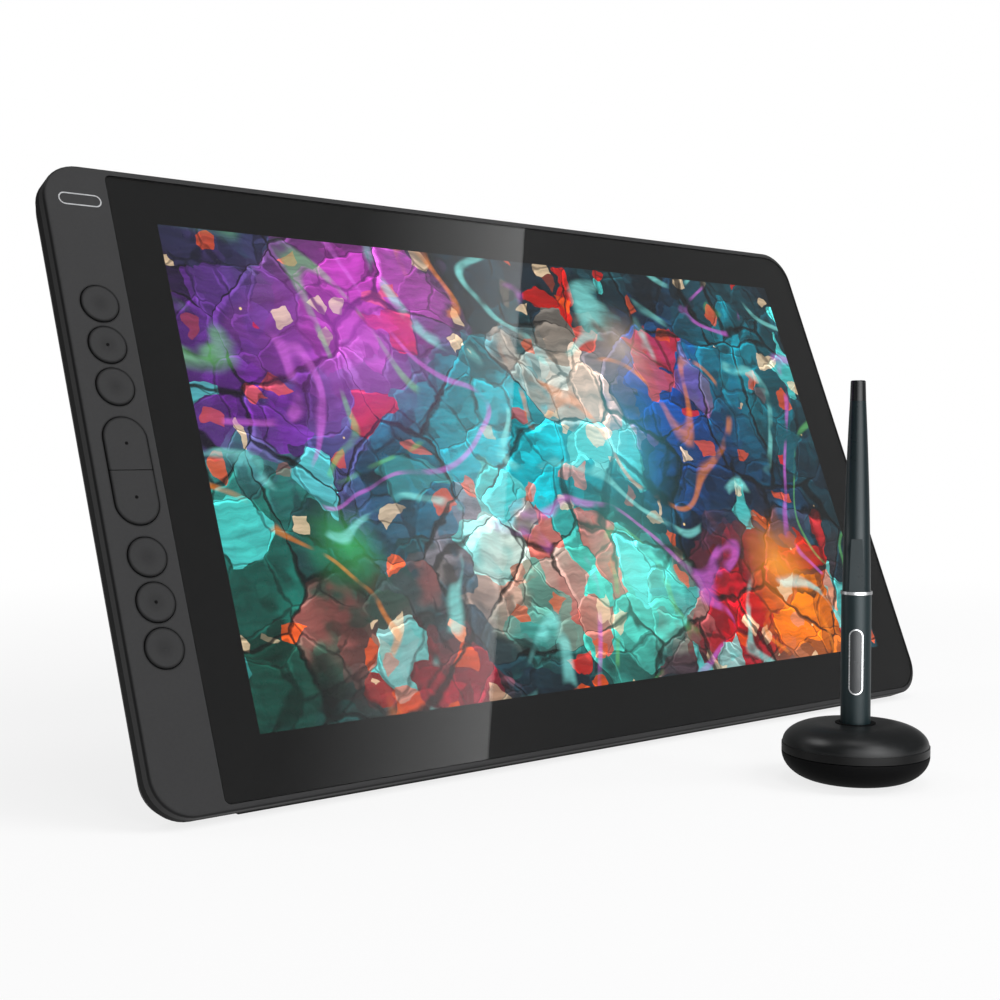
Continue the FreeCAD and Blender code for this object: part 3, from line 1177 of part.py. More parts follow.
def cover_openings(body):
    for number, (x, y) in enumerate(rear_foot_spots(), 1):
        rod(body, f"FootSeat{number}", (x, y, f"-{BACK} - cutOver"), "footRadius + screwGap",
            "footSink + cutOver", cut=True)
    for name, rise in (("Lower", "lowerSocket"), ("Upper", "upperSocket")):
        pill(body, f"{name}Port", (f"{SIDE} - buttonSeat - cutOver", rise, f"-{SOCKET_DEPTH}"),
             "socketWidth + 2 * socketGap", "socketHeight + 2 * socketGap", "buttonSeat + 2 * cutOver",
             plane="YZ", level=True, cut=True)
    pill(body, "ButtonHole", (f"{SIDE} - buttonSeat - cutOver", "buttonRise", f"-{SIDE_PORT}"),
         "buttonLength + 2 * keyGap", "buttonWidth + 2 * keyGap", "buttonSeat + 2 * cutOver",
         plane="YZ", level=True, cut=True)
    rod(body, "LensHole", (f"{SIDE} - buttonSeat - cutOver", "lensRise", f"-{SIDE_PORT}"), "lensRadius + screwGap",
        "buttonSeat + 2 * cutOver", along="x", cut=True)
    slot = block(body, "Vent", ("ventStart", "ventRise - ventLength / 2", f"-{BACK} - cutOver"),
                 ("ventStart + ventWidth", "ventRise + ventLength / 2", f"-{INNER_BACK} + cutOver"), cut=True)
    repeat_along_x(body, "Vents", slot, "ventCount", "ventPitch")


def rear_feet():
    body = new_body("rear_feet", leaned)
    for number, (x, y) in enumerate(rear_foot_spots(), 1):
        rod(body, f"Foot{number}", (x, y, f"-{BACK} + footSink - footThick"), "footRadius", "footThick")


def edge_rest_strip():
    body = new_body("edge_rest_strip", flat)
    block(body, "Strip", ("-stripReach / 2", "-stripBroad / 2", "0"), ("stripReach / 2", "stripBroad / 2", "stripThick"))


def cover_screws():
    body = new_body("cover_screws", leaned)
    for number, spot in enumerate(cover_screw_spots(), 1):
        screw(body, f"Screw{number}", spot, HEAD_SEAT, f"{LEDGE} + tipGap", "coverScrew", "coverHead", "coverHeadRise")
    top = f"-{HEAD_SEAT} - coverHeadRise"
    for number, (x, y) in enumerate(cover_screw_spots(), 1):
        for name, wide, tall in (("Slot", "crossLong", "crossWide"), ("Cross", "crossWide", "crossLong")):
            block(body, f"{name}{number}", (f"{x} - {wide} / 2", f"{y} - {tall} / 2", f"{top} - cutOver"),
                  (f"{x} + {wide} / 2", f"{y} + {tall} / 2", f"{top} + crossDeep"), cut=True)


def small_screws():
    """Screws of the chassis, the main board and the key board."""
    body = new_body("small_screws", leaned)
    groups = (("Chassis", chassis_screw_spots(), CHASSIS_BACK, f"{LEDGE} + tipGap"),
              ("Board", board_screw_spots(), BOARD_BACK, CHASSIS_TOP),
              ("KeyBoard", key_post_spots(), KEY_BOARD_BACK, f"{SEAT} + tipGap"))
    for name, spots, seat, tip in groups:
        for number, spot in enumerate(spots, 1):
            screw(body, f"{name}{number}", spot, seat, tip, "smallScrew", "smallHead", "smallHeadRise")


# Kickstand

def kickstand_leg():
    """The leg is drawn about its hinge axis, hanging down: y runs up it and z is its front."""
    body = new_body("kickstand_leg", on_hinge)
    back = "-barrelRadius"
    front = "-barrelRadius + legThick"
    slab(body, "Plate", ("-legWidth / 2", f"-{LEG_REACH} + legFoot", back), ("legWidth / 2", "-plateDrop", front),
         "legCorner")
    for name, start in (("Left", "-knuckleStart - knuckleLength"), ("Right", "knuckleStart")):
        block(body, f"{name}Web", (start, "-plateDrop - legCorner", back), (f"{start} + knuckleLength", "0", front))
        rod(body, f"{name}Barrel", (start, "0", "0"), "barrelRadius", "knuckleLength", along="x")
    for name, start in (("Left", "-knuckleStart - pinReach"), ("Right", "knuckleStart")):
        rod(body, f"{name}Bore", (f"{start} - pinGap", "0", "0"), "pinRadius + pinGap", "pinReach + 2 * pinGap",
            along="x", cut=True)


def kickstand_foot_strip():
    body = new_body("kickstand_foot_strip", on_hinge)
    half = "legWidth / 2 - footEdgeInset"
    block(body, "Strip", (f"-({half})", f"-{LEG_REACH} - footOver", "-barrelRadius"),
          (half, f"-{LEG_REACH} + legFoot", "-barrelRadius + legThick"))
    lean = "(recline + legOpen)"
    back = f"(-{LEG_REACH} * cos{lean} - 3 * deskCut)"
    low = f"(-{HINGE_Z} - deskCut)"
    desk = body.newObject("PartDesign::SubtractiveBox", "Desk")
    desk.Placement.Rotation = FreeCAD.Rotation(FreeCAD.Vector(1, 0, 0), -1)
    bind(desk, "Placement.Rotation.Angle", f"-{lean}")
    bind_place(desk, ("-legWidth", f"{back} * cos{lean} + {low} * sin{lean}",
                      f"-{back} * sin{lean} + {low} * cos{lean}"))
    for side, length in (("Length", "2 * legWidth"), ("Width", "6 * deskCut"), ("Height", "deskCut")):
        bind(desk, side, length)


def kickstand_hinge_blocks():
    body = new_body("kickstand_hinge_blocks", leaned)
    inner = "knuckleStart - hingeGap - blockWidth"
    outer = "knuckleStart - hingeGap"
    for name, low, high in (("Left", f"-({outer})", f"-({inner})"), ("Right", inner, outer)):
        block(body, name, (low, "hingeRise - blockReach", f"-{BACK} + blockSink"),
              (high, "hingeRise + blockReach", f"-{RECESS_FLOOR}"))
        rod(body, f"{name}Bore", (low, "hingeRise", f"-{HINGE_DEPTH}"), "pinRadius + pinGap", "blockWidth",
            along="x", cut=True)


def kickstand_pins():
    body = new_body("kickstand_pins", leaned)
    length = "pinReach + hingeGap + blockWidth"
    for name, start in (("Left", "-knuckleStart - pinReach"), ("Right", "knuckleStart - hingeGap - blockWidth")):
        rod(body, name, (start, "hingeRise", f"-{HINGE_DEPTH}"), "pinRadius", length, along="x")


# Pen, drawn standing on its nib

def pen_grip_barrel():
    body = new_body("pen_grip_barrel", as_pen)
    turned(body, "Barrel", [("0", "gripStart"), ("gripTip", "gripStart", ("bow", "gripBow", 1)),
                            ("gripRadius", "gripCone"), ("gripRadius", "ringLow"), (SPIGOT, "ringLow"),
                            (SPIGOT, f"{RING_TOP} + spigotRise"), ("0", f"{RING_TOP} + spigotRise")])
    inner = "gripRadius - penWall"
    neck = f"{SPIGOT} - penWall"
    turned(body, "Bore", [("0", "boreLow"), ("boreTip", "boreLow"), (inner, "boreCone"),
                          (inner, "ringLow - 2 * penWall"), (neck, "ringLow - penWall"),
                          (neck, f"{RING_TOP} + spigotRise + cutOver"), ("0", f"{RING_TOP} + spigotRise + cutOver")],
           cut=True)
    rod(body, "NibHole", ("0", "0", "0"), "nibRadius + nibGap", "boreLow + cutOver", cut=True)
    pill(body, "SwitchSlot", ("0", "0", "rockerMiddle"), "rockerLength", "rockerWidth", "gripRadius + cutOver",
         plane="XZ", cut=True)


def pen_ring():
    body = new_body("pen_ring", as_pen)
    tube(body, "Ring", ("0", "0", "ringLow"), "ringRadius", f"{SPIGOT} + spigotGap", "ringHeight")


def pen_rear_barrel():
    body = new_body("pen_rear_barrel", as_pen)
    turned(body, "Barrel", [("0", RING_TOP), ("rearRadius", RING_TOP, ("bow", "rearBow", 1)),
                            ("rearTop", CAP_LOW), ("0", CAP_LOW)])
    socket = f"{SPIGOT} + spigotGap"
    end = f"{RING_TOP} + spigotRise + penWall"
    turned(body, "Bore", [("0", f"{RING_TOP} - cutOver"), (socket, f"{RING_TOP} - cutOver"), (socket, end),
                          (f"{SPIGOT} - penWall", end), ("rearTop - penWall", f"{CAP_LOW} - capPlug"),
                          ("rearTop - penWall", f"{CAP_LOW} + cutOver"), ("0", f"{CAP_LOW} + cutOver")], cut=True)
    block(body, "ThumbFlat", ("-rearRadius", "-2 * rearRadius", f"{RING_TOP} - cutOver"),
          ("rearRadius", "-rearRadius + facetDepth", "facetTop"), cut=True)


def pen_tail_cap():
    body = new_body("pen_tail_cap", as_pen)
    plug = "rearTop - penWall - capPlugGap"
    turned(body, "Cap", [("0", f"{CAP_LOW} - capPlug"), (plug, f"{CAP_LOW} - capPlug"), (plug, CAP_LOW),
                         ("rearTop", CAP_LOW), ("capTop", "penLength - capChamfer"),
                         ("capTop - capChamfer", "penLength"), ("0", "penLength")])


def pen_side_switch():
    """The rocker and its trim follow the round of the barrel."""
    low = "rockerMiddle - rockerLength / 2 - penWall"
    length = "rockerLength + 2 * penWall"
    trim_tube = new_body("trim_tube")
    tube(trim_tube, "Wall", ("0", "0", low), "gripRadius + trimProud", "gripRadius - penWall", length)
    band = new_body("trim_band")
    pill(band, "Band", ("0", "0", "rockerMiddle"), "rockerLength - 2 * trimGap", "rockerWidth - 2 * trimGap",
         "gripRadius + cutOver", plane="XZ")
    pill(band, "BandOpening", ("0", "cutOver", "rockerMiddle"), "rockerLength - 2 * trimBand",
         "rockerWidth - 2 * trimBand", "gripRadius + 3 * cutOver", plane="XZ", cut=True)
    common("pen_rocker_trim", trim_tube, band, as_pen)

    rocker_tube = new_body("rocker_tube")
    face = "gripRadius + rockerProud"
    tube(rocker_tube, "Wall", ("0", "0", low), face, f"{face} - rockerThick", length)
    for name, side in (("LowerStud", -1), ("UpperStud", 1)):
        rod(rocker_tube, name, ("0", f"-({face} - rockerThick / 2)", f"rockerMiddle + {side} * rockerStud"),
            "studRadius", "rockerThick / 2 + studLength", along="y")
    rod(rocker_tube, "Pivot", ("-rockerWidth / 2", f"-({face} - rockerThick)", "rockerMiddle"), "pivotRadius",
        "rockerWidth", along="x")
    block(rocker_tube, "Mark", ("-rockerMark", f"-({face}) - rockerMarkRise", "rockerMiddle - rockerMarkRise * 2"),
          ("rockerMark", f"-({face}) + rockerThick / 2", "rockerMiddle + rockerMarkRise * 2"))
    shape = new_body("rocker_shape")
    pill(shape, "Face", ("0", "0", "rockerMiddle"), "rockerLength - 2 * trimBand - 2 * rockerGap",
         "rockerWidth - 2 * trimBand - 2 * rockerGap", "gripRadius + 2 * cutOver", plane="XZ")
    common("pen_rocker", rocker_tube, shape, as_pen)


def pen_nib():
    body = new_body("pen_nib", as_pen)
    turned(body, "Nib", [("0", "0"), ("nibRadius / 2", "0"), ("nibRadius", "nibRadius"), ("nibRadius", "nibLength"),
                         ("0", "nibLength")])


def pen_insides():
    plunger = new_body("pen_plunger", as_pen)
    rod(plunger, "Rod", ("0", "0", "nibLength"), "nibRadius", "plungerTop - nibLength")
    coil = new_body("pen_coil", as_pen)
    tube(coil, "Coil", ("0", "0", "coilLow"), "coilRadius", "ferriteRadius + screwGap", "coilHigh - coilLow")
    ferrite = new_body("pen_ferrite", as_pen)
    tube(ferrite, "Sleeve", ("0", "0", "ferriteLow"), "ferriteRadius", "ferriteBore", "ferriteHigh - ferriteLow")
    sensor = new_body("pen_pressure_sensor", as_pen)
    rod(sensor, "Sensor", ("0", "0", "sensorLow"), "gripRadius - penWall - sensorGap", "sensorHigh - sensorLow")


def pen_board():
    body = new_body("pen_board", as_pen)
    block(body, "Board", ("-penBoardWidth / 2", "-penBoardThick / 2", "sensorHigh"),
          ("penBoardWidth / 2", "penBoardThick / 2", "penBoardTop"))
    for name, side in (("LowerSwitch", -1), ("UpperSwitch", 1)):
        middle = f"rockerMiddle + {side} * rockerStud"
        block(body, name, ("-penSwitchSide / 2", "-penBoardThick / 2 - penSwitchRise", f"{middle} - penSwitchSide / 2"),
              ("penSwitchSide / 2", "-penBoardThick / 2", f"{middle} + penSwitchSide / 2"))


# Pen stand

def stand_lower_shell():
    body = new_body("stand_lower_shell", on_stand)
    inner = "standRadius - standWall"
    turned(body, "Shell", [("0", "standLift"), ("standFlat", "standLift", ("oval", "standFlat", "standWaist")),
                           ("standRadius", "standWaist"), (inner, "standWaist", ("oval", "standFlat", "standWaist")),
                           ("standFlat", FLOOR_TOP), ("0", FLOOR_TOP)])
    rod(body, "PadSeat", ("0", "0", "0"), "padOuter + screwGap", "padThick", cut=True)
    rod(body, "PadIsland", ("0", "0", "standLift"), "padInner - screwGap", "standWall")


def stand_upper_shell():
    body = new_body("stand_upper_shell", on_stand)
    inner = "standRadius - standWall"
    hole = "collarRadius + collarGap"
    turned(body, "Shell", [(hole, "standHeight - standWall"),
                           ("standFlat", "standHeight - standWall", ("oval", "standFlat", BAND_TOP)),
                           (inner, BAND_TOP), (inner, SEAM_TOP), ("standRadius", SEAM_TOP),
                           ("standRadius", BAND_TOP),
                           ("standRadius - bandStep", BAND_TOP, ("oval", "standFlat", BAND_TOP)),
                           ("standFlat", "standHeight"), (hole, "standHeight")])
    outer = f"{inner} - skirtGap"
    tube(body, "SkirtStep", ("0", "0", SEAM_TOP), f"{inner} + standWall / 2", f"{outer} - skirtThick", "skirtRoot")
    tube(body, "Skirt", ("0", "0", "standWaist - skirtDrop"), outer, f"{outer} - skirtThick",
         "skirtDrop + standSeam + skirtRoot")


def stand_pen_liner():
    body = new_body("stand_pen_liner", on_stand)
    low = "penSeat - linerGap - linerFloor"
    top = "standHeight + collarRim"
    rod(body, "Sleeve", ("0", "0", low), "collarRadius", f"{top} - ({low})")
    rod(body, "Rim", ("0", "0", "standHeight"), "collarRadius + 2 * collarRim", "collarRim")
    turned(body, "PenSpace", [("0", "penSeat - linerGap"), ("nibRadius + linerGap", "penSeat - linerGap"),
                              ("nibRadius + linerGap", "penSeat + gripStart - linerGap"),
                              ("gripTip + linerGap", "penSeat + gripStart - linerGap", ("bow", "gripBow", 1)),
                              ("gripRadius + linerGap", "penSeat + gripCone - linerGap"),
                              ("gripRadius + linerGap", f"{top} + cutOver"), ("0", f"{top} + cutOver")], cut=True)


def stand_insides():
    weight = new_body("stand_weight", on_stand)
    tube(weight, "Ring", ("0", "0", FLOOR_TOP), "weightOuter", "weightInner", "weightHeight")
    pad = new_body("stand_foot_ring", on_stand)
    tube(pad, "Ring", ("0", "0", "0"), "padOuter", "padInner", "padThick")
    puller = new_body("nib_puller", on_stand)
    tube(puller, "Ring", ("pullerCircle * cos(pullerTurn)", "pullerCircle * sin(pullerTurn)",
                          f"{RACK_LOW} + rackThick"), "pullerRadius", "pullerBore", "pullerThick")


def spare_spots():
    count = round(value("spareCount"))
    return [(f"spareCircle * cos({number} * 360 / spareCount)", f"spareCircle * sin({number} * 360 / spareCount)")
            for number in range(count)]


def nib_rack():
    body = new_body("nib_rack", on_stand)
    tube(body, "Rack", ("0", "0", RACK_LOW), "rackOuter", "rackInner", "rackThick")
    for number, (x, y) in enumerate(spare_spots(), 1):
        rod(body, f"Hole{number}", (x, y, f"{RACK_LOW} - cutOver"), "nibRadius + spareGap", "rackThick + 2 * cutOver",
            cut=True)


def spare_nibs():
    body = new_body("spare_nibs", on_stand)
    for number, (x, y) in enumerate(spare_spots(), 1):
        rod(body, f"Nib{number}", (x, y, "spareLow"), "nibRadius", "spareLength")


# Build, check and write

for build in (front_frame, cover_glass, glass_tape, badge_ring, display_stack, led_bar, backlight_tray,
              digitizer_board, chassis_plate, main_board, main_board_chips, ribbon_connectors, usb_sockets,
              key_ribbon, display_ribbon, digitizer_ribbon, key_board, key_switches):
    build()
for key_number in ROUND_KEYS:
    round_key(key_number)
for key_number in SPLIT_KEYS:
    split_key(key_number)
for build in (power_button, power_switch, indicator_lens, rear_cover, rear_feet, edge_rest_strip, cover_screws,
              small_screws, kickstand_leg, kickstand_foot_strip, kickstand_hinge_blocks, kickstand_pins,
              pen_grip_barrel, pen_ring, pen_rear_barrel, pen_tail_cap, pen_side_switch, pen_nib, pen_insides,
              pen_board, stand_lower_shell, stand_upper_shell, stand_pen_liner, stand_insides, nib_rack, spare_nibs):
    build()
doc.recompute()

failed = [thing.Label for thing in doc.Objects if {"Invalid", "Error"} & set(thing.State)]
failed += [name for name, thing in nodes.items() if thing.Shape.isNull() or not thing.Shape.isValid()]
if failed:
    raise RuntimeError("Not built: " + ", ".join(failed))

os.makedirs("parts", exist_ok=True)
for name, thing in nodes.items():
    thing.Shape.exportStep(f"parts/{name}.step")
    box = thing.Shape.BoundBox
    print(f"{name:24s} {len(thing.Shape.Solids):3d} solids {thing.Shape.Volume:11.1f} mm3   "
          f"x {box.XMin:8.2f} {box.XMax:8.2f}   y {box.YMin:8.2f} {box.YMax:8.2f}   z {box.ZMin:7.2f} {box.ZMax:7.2f}")
print(len(nodes), "nodes")
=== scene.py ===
import math
import bpy
import numpy as np
from mathutils import Matrix, Vector


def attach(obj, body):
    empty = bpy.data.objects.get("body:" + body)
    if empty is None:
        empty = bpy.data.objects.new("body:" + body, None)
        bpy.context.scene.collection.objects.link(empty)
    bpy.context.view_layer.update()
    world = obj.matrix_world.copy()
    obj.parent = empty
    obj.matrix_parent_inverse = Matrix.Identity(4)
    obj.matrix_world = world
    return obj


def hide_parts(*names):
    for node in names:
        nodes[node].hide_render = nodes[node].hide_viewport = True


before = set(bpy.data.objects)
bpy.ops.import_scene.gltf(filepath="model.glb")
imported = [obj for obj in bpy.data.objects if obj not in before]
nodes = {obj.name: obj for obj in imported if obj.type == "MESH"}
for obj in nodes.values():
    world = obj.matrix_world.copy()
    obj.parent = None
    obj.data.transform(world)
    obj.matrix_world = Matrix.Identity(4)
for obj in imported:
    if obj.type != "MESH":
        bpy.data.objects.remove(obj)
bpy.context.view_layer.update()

# Every length is in metres. The tablet's face is a plane leaned back by its recline. A spot on it is given by
# x to the right, y up the face and z out of the glass.
tablet = {
    "recline": math.radians(68),
    "origin": (0.0, -0.0106527, 0.0037969),
}
faceTurn = Matrix.Rotation(tablet["recline"], 4, "X")
faceFrame = Matrix.Translation(tablet["origin"]) @ faceTurn


def faceArray(points):
    # Rows of spots on the face, turned by the recline and shifted by the origin into the scene.
    turn = np.array(faceFrame)
    return points @ turn[:3, :3].T + turn[:3, 3]


def addNode(tree, kind, **values):
    # A new node with its settings.
    node = tree.nodes.new(kind)
    for name, value in values.items():
        setattr(node, name, value)
    return node


def wire(tree, source, target):
    # A link from an output to an input.
    tree.links.new(source, target)


def feed(tree, socket, value):
    # A socket takes either another socket or a constant.
    if isinstance(value, bpy.types.NodeSocket):
        tree.links.new(value, socket)
    else:
        socket.default_value = value


def feedAll(tree, node, values):
    # A node's named inputs, each fed by a socket or a constant.
    for name, value in values.items():
        feed(tree, node.inputs[name], value)
    return node


def doMath(tree, operation, first, second=0.0, third=0.0, clamp=False):
    # One operation on up to three numbers.
    node = addNode(tree, "ShaderNodeMath", operation=operation, use_clamp=clamp)
    for socket, value in zip(node.inputs, (first, second, third)):
        feed(tree, socket, value)
    return node.outputs[0]


def vectorMath(tree, operation, *values):
    # One operation on vectors; a length, a distance and a dot product come out as a number.
    node = addNode(tree, "ShaderNodeVectorMath", operation=operation)
    for socket, value in zip(node.inputs, values):
        feed(tree, socket, value)
    return node.outputs["Value" if operation in ("LENGTH", "DISTANCE", "DOT_PRODUCT") else "Vector"]


def scaled(tree, vector, amount):
    # A vector or a colour times a number.
    node = addNode(tree, "ShaderNodeVectorMath", operation="SCALE")
    wire(tree, vector, node.inputs[0])
    feed(tree, node.inputs["Scale"], amount)
    return node.outputs[0]


def mapped(tree, vector, location=(0, 0, 0), turn=(0, 0, 0), scale=(1, 1, 1), kind="POINT"):
    # A vector scaled, turned and shifted, or the other way round for the kind TEXTURE.
    node = addNode(tree, "ShaderNodeMapping", vector_type=kind)
    feedAll(tree, node, {"Vector": vector, "Location": location, "Rotation": turn, "Scale": scale})
    return node.outputs["Vector"]


def splitVector(tree, vector):
    # The x, y and z of a vector.
    node = addNode(tree, "ShaderNodeSeparateXYZ")
    wire(tree, vector, node.inputs[0])
    return node.outputs


def within(tree, value, middle, half):
    # One where a value is less than half away from a middle, else nought.
    return doMath(tree, "LESS_THAN", doMath(tree, "ABSOLUTE", doMath(tree, "SUBTRACT", value, middle)), half)


def blend(tree, factor, first, second):
    # The first number at a factor of nought, the second at one.
    node = feedAll(tree, addNode(tree, "ShaderNodeMix"), {"Factor": factor, "A": first, "B": second})
    return node.outputs["Result"]


def mixColour(tree, factor, first, second, mode="MIX"):
    # The first colour at a factor of nought, and the second laid over it at one.
    node = addNode(tree, "ShaderNodeMix", data_type="RGBA", blend_type=mode)
    feed(tree, node.inputs["Factor"], factor)
    for name, value in (("A", first), ("B", second)):
        socket = [s for s in node.inputs if s.name == name and s.type == "RGBA"][0]
        if isinstance(value, (tuple, list)):
            value = tuple(value) + (1.0,) * (4 - len(value))
        feed(tree, socket, value)
    return [s for s in node.outputs if s.type == "RGBA"][0]


def mapRange(tree, value, low, high, toLow=0.0, toHigh=1.0, smooth=False):
    # A value carried from one range to another, straight or with soft ends.
    node = addNode(tree, "ShaderNodeMapRange", interpolation_type="SMOOTHSTEP" if smooth else "LINEAR")
    feedAll(tree, node, {"Value": value, "From Min": low, "From Max": high, "To Min": toLow, "To Max": toHigh})
    return node.outputs["Result"]


def colourRamp(tree, value, stops):
    # A value turned into colours between (position, colour) stops.
    node = addNode(tree, "ShaderNodeValToRGB")
    elements = node.color_ramp.elements
    stops = list(stops)
    while len(elements) < len(stops):
        elements.new(0.5)
    for element, (position, colour) in zip(elements, stops):
        element.position = position
        element.color = tuple(colour) + (1.0,)
    wire(tree, value, node.inputs["Fac"])
    return node.outputs["Color"]


def noise(tree, vector, scale, detail=3.0, roughness=0.5, distortion=0.0, colour=False):
    # Cloudy noise about a half, with scale clouds to one step of the vector.
    node = feedAll(tree, addNode(tree, "ShaderNodeTexNoise"), {
        "Vector": vector, "Scale": scale, "Detail": detail, "Roughness": roughness, "Distortion": distortion})
    return node.outputs["Color" if colour else "Fac"]


noiseRange = (0.3, 0.7)                         # most of a noise lies between these


def cloudy(tree, value, low, high):
    # A noise's usual range carried to another one.
    return mapRange(tree, value, *noiseRange, low, high)


def cloudTint(tree, value, tints):
    # A noise's usual range as a run from one colour to another.
    return colourRamp(tree, value, zip(noiseRange, tints))


def voronoi(tree, vector, scale, feature="F1", metric="EUCLIDEAN", randomness=1.0):
    # Scattered cells, scale of them to one step of the vector: each one's distance, colour and middle.
    node = addNode(tree, "ShaderNodeTexVoronoi", feature=feature, distance=metric)
    return feedAll(tree, node, {"Vector": vector, "Scale": scale, "Randomness": randomness}).outputs


def newGroup(name, inputs, outputs):
    # A shader group with named sockets; returns the tree, what it is given and what it makes.
    tree = bpy.data.node_groups.new(name, "ShaderNodeTree")
    kinds = {"number": "NodeSocketFloat", "vector": "NodeSocketVector", "colour": "NodeSocketColor"}
    for label, kind, value in inputs:
        socket = tree.interface.new_socket(name=label, in_out="INPUT", socket_type=kinds[kind])
        if value is not None:
            socket.default_value = value
    for label, kind in outputs:
        tree.interface.new_socket(name=label, in_out="OUTPUT", socket_type=kinds[kind])
    return tree, tree.nodes.new("NodeGroupInput").outputs, tree.nodes.new("NodeGroupOutput").inputs


def useGroup(tree, group, **values):
    # A shared effect placed in a tree with its own values; returns what it makes.
    return feedAll(tree, addNode(tree, "ShaderNodeGroup", node_tree=group), values).outputs


grainLook = {
    "mottleScale": 900.0, "mottleShare": 0.35,
    "slowScale": 34.0,
    "fineShare": 0.08, "shadeShare": 2.2,
}


def buildGrainGroup():
    # Moulded texture: the height is fine pits plus a share of a slower mottle. Roughness and shade follow that
    # mottle and a slow noise.
    tree, given, made = newGroup("mouldedGrain", [
        ("Vector", "vector", None), ("Scale", "number", 4000.0), ("Depth", "number", 0.6),
        ("Colour", "colour", (0.05, 0.05, 0.05, 1)), ("Roughness", "number", 0.5), ("Spread", "number", 0.06),
    ], [("Colour", "colour"), ("Roughness", "number"), ("Height", "number")])
    pits = voronoi(tree, given["Vector"], given["Scale"], "SMOOTH_F1")["Distance"]
    mottle = noise(tree, given["Vector"], grainLook["mottleScale"], 2.0)
    height = doMath(tree, "MULTIPLY_ADD", mottle, grainLook["mottleShare"], pits)
    wire(tree, doMath(tree, "MULTIPLY", height, given["Depth"]), made["Height"])
    slow = noise(tree, given["Vector"], grainLook["slowScale"], 4.0, 0.6)
    shift = doMath(tree, "MULTIPLY", doMath(tree, "SUBTRACT", slow, 0.5), given["Spread"])
    change = doMath(tree, "MULTIPLY_ADD", doMath(tree, "SUBTRACT", mottle, 0.5), grainLook["fineShare"], shift)
    wire(tree, doMath(tree, "ADD", given["Roughness"], change, clamp=True), made["Roughness"])
    lightness = doMath(tree, "MULTIPLY_ADD", change, grainLook["shadeShare"], 1.0)
    wire(tree, scaled(tree, given["Colour"], lightness), made["Colour"])
    return tree


handlingLook = {"blotScale": 26.0, "blotLimits": (0.52, 0.7), "streakScale": 240.0}


def buildHandlingGroup():
    # Faint finger smudges: streaks that show only in soft blots, added to the roughness.
    tree, given, made = newGroup("handlingMarks", [
        ("Vector", "vector", None), ("Amount", "number", 0.08), ("Roughness", "number", 0.2),
    ], [("Roughness", "number")])
    blots = noise(tree, given["Vector"], handlingLook["blotScale"], 5.0, 0.62, 0.6)
    mask = mapRange(tree, blots, *handlingLook["blotLimits"], smooth=True)
    streaks = noise(tree, given["Vector"], handlingLook["streakScale"], 2.0)
    added = doMath(tree, "MULTIPLY", doMath(tree, "MULTIPLY", mask, streaks), given["Amount"])
    wire(tree, doMath(tree, "ADD", given["Roughness"], added, clamp=True), made["Roughness"])
    return tree


brushedLook = {
    "stretch": (12.0, 1400.0, 1400.0),
    "cloudScale": 60.0, "cloudShare": 0.5,
    "middle": 0.75, "roughShare": 0.22, "shadeShare": 0.5,
}


def buildBrushedGroup():
    # Drawn metal: noise stretched along x gives the streaks, and with a slower cloud it shifts roughness and shade.
    tree, given, made = newGroup("brushedLines", [
        ("Vector", "vector", None), ("Colour", "colour", (0.6, 0.6, 0.6, 1)), ("Roughness", "number", 0.3),
        ("Depth", "number", 0.3),
    ], [("Colour", "colour"), ("Roughness", "number"), ("Height", "number")])
    streak = noise(tree, mapped(tree, given["Vector"], scale=brushedLook["stretch"]), 1.0, 4.0, 0.6)
    cloud = noise(tree, given["Vector"], brushedLook["cloudScale"], 3.0)
    both = doMath(tree, "MULTIPLY_ADD", cloud, brushedLook["cloudShare"], streak)
    change = doMath(tree, "SUBTRACT", both, brushedLook["middle"])
    wire(tree, doMath(tree, "MULTIPLY", streak, given["Depth"]), made["Height"])
    wire(tree, doMath(tree, "MULTIPLY_ADD", change, brushedLook["roughShare"], given["Roughness"], clamp=True),
         made["Roughness"])
    lightness = doMath(tree, "MULTIPLY_ADD", change, brushedLook["shadeShare"], 1.0)
    wire(tree, scaled(tree, given["Colour"], lightness), made["Colour"])
    return tree


grain = buildGrainGroup()
handling = buildHandlingGroup()
brushed = buildBrushedGroup()
print("shared effects built")


def emptyTree(owner):
    # The node tree of a material or a world, with nothing in it yet.
    owner.use_nodes = True
    owner.node_tree.nodes.clear()
    return owner.node_tree


def startMaterial(name):
    # A material with its shader wired up, and the place on the object that its patterns read.
    material = bpy.data.materials.new(name)
    tree = emptyTree(material)
    output = addNode(tree, "ShaderNodeOutputMaterial")
    shader = addNode(tree, "ShaderNodeBsdfPrincipled")
    wire(tree, shader.outputs[0], output.inputs["Surface"])
    return material, tree, shader, addNode(tree, "ShaderNodeTexCoord").outputs["Object"]


def addBump(tree, shader, height, strength, distance):
    # The height tilts the shader's normal.
    bump = addNode(tree, "ShaderNodeBump")
    feedAll(tree, bump, {"Strength": strength, "Distance": distance, "Height": height})
    wire(tree, bump.outputs["Normal"], shader.inputs["Normal"])


def facePlane(tree, place):
    # The place turned back by the recline and shifted, so that x and y lie in the tablet's face.
    shift = faceTurn.to_3x3().transposed() @ Vector(tablet["origin"])
    return mapped(tree, place, location=tuple(-v for v in shift), turn=(-tablet["recline"], 0, 0))


bumpDepths = {"grain": 0.00004, "dust": 0.00008, "blasted": 0.00003, "streaks": 0.00003, "copper": 0.00003,
              "lines": 0.00002}
coatRoughness = 0.1
dustBloom = {"cloud": (420.0, 5.0, 0.7), "limits": (0.55, 0.8, 0.0, 0.35), "lighter": 2.4, "least": 0.01}


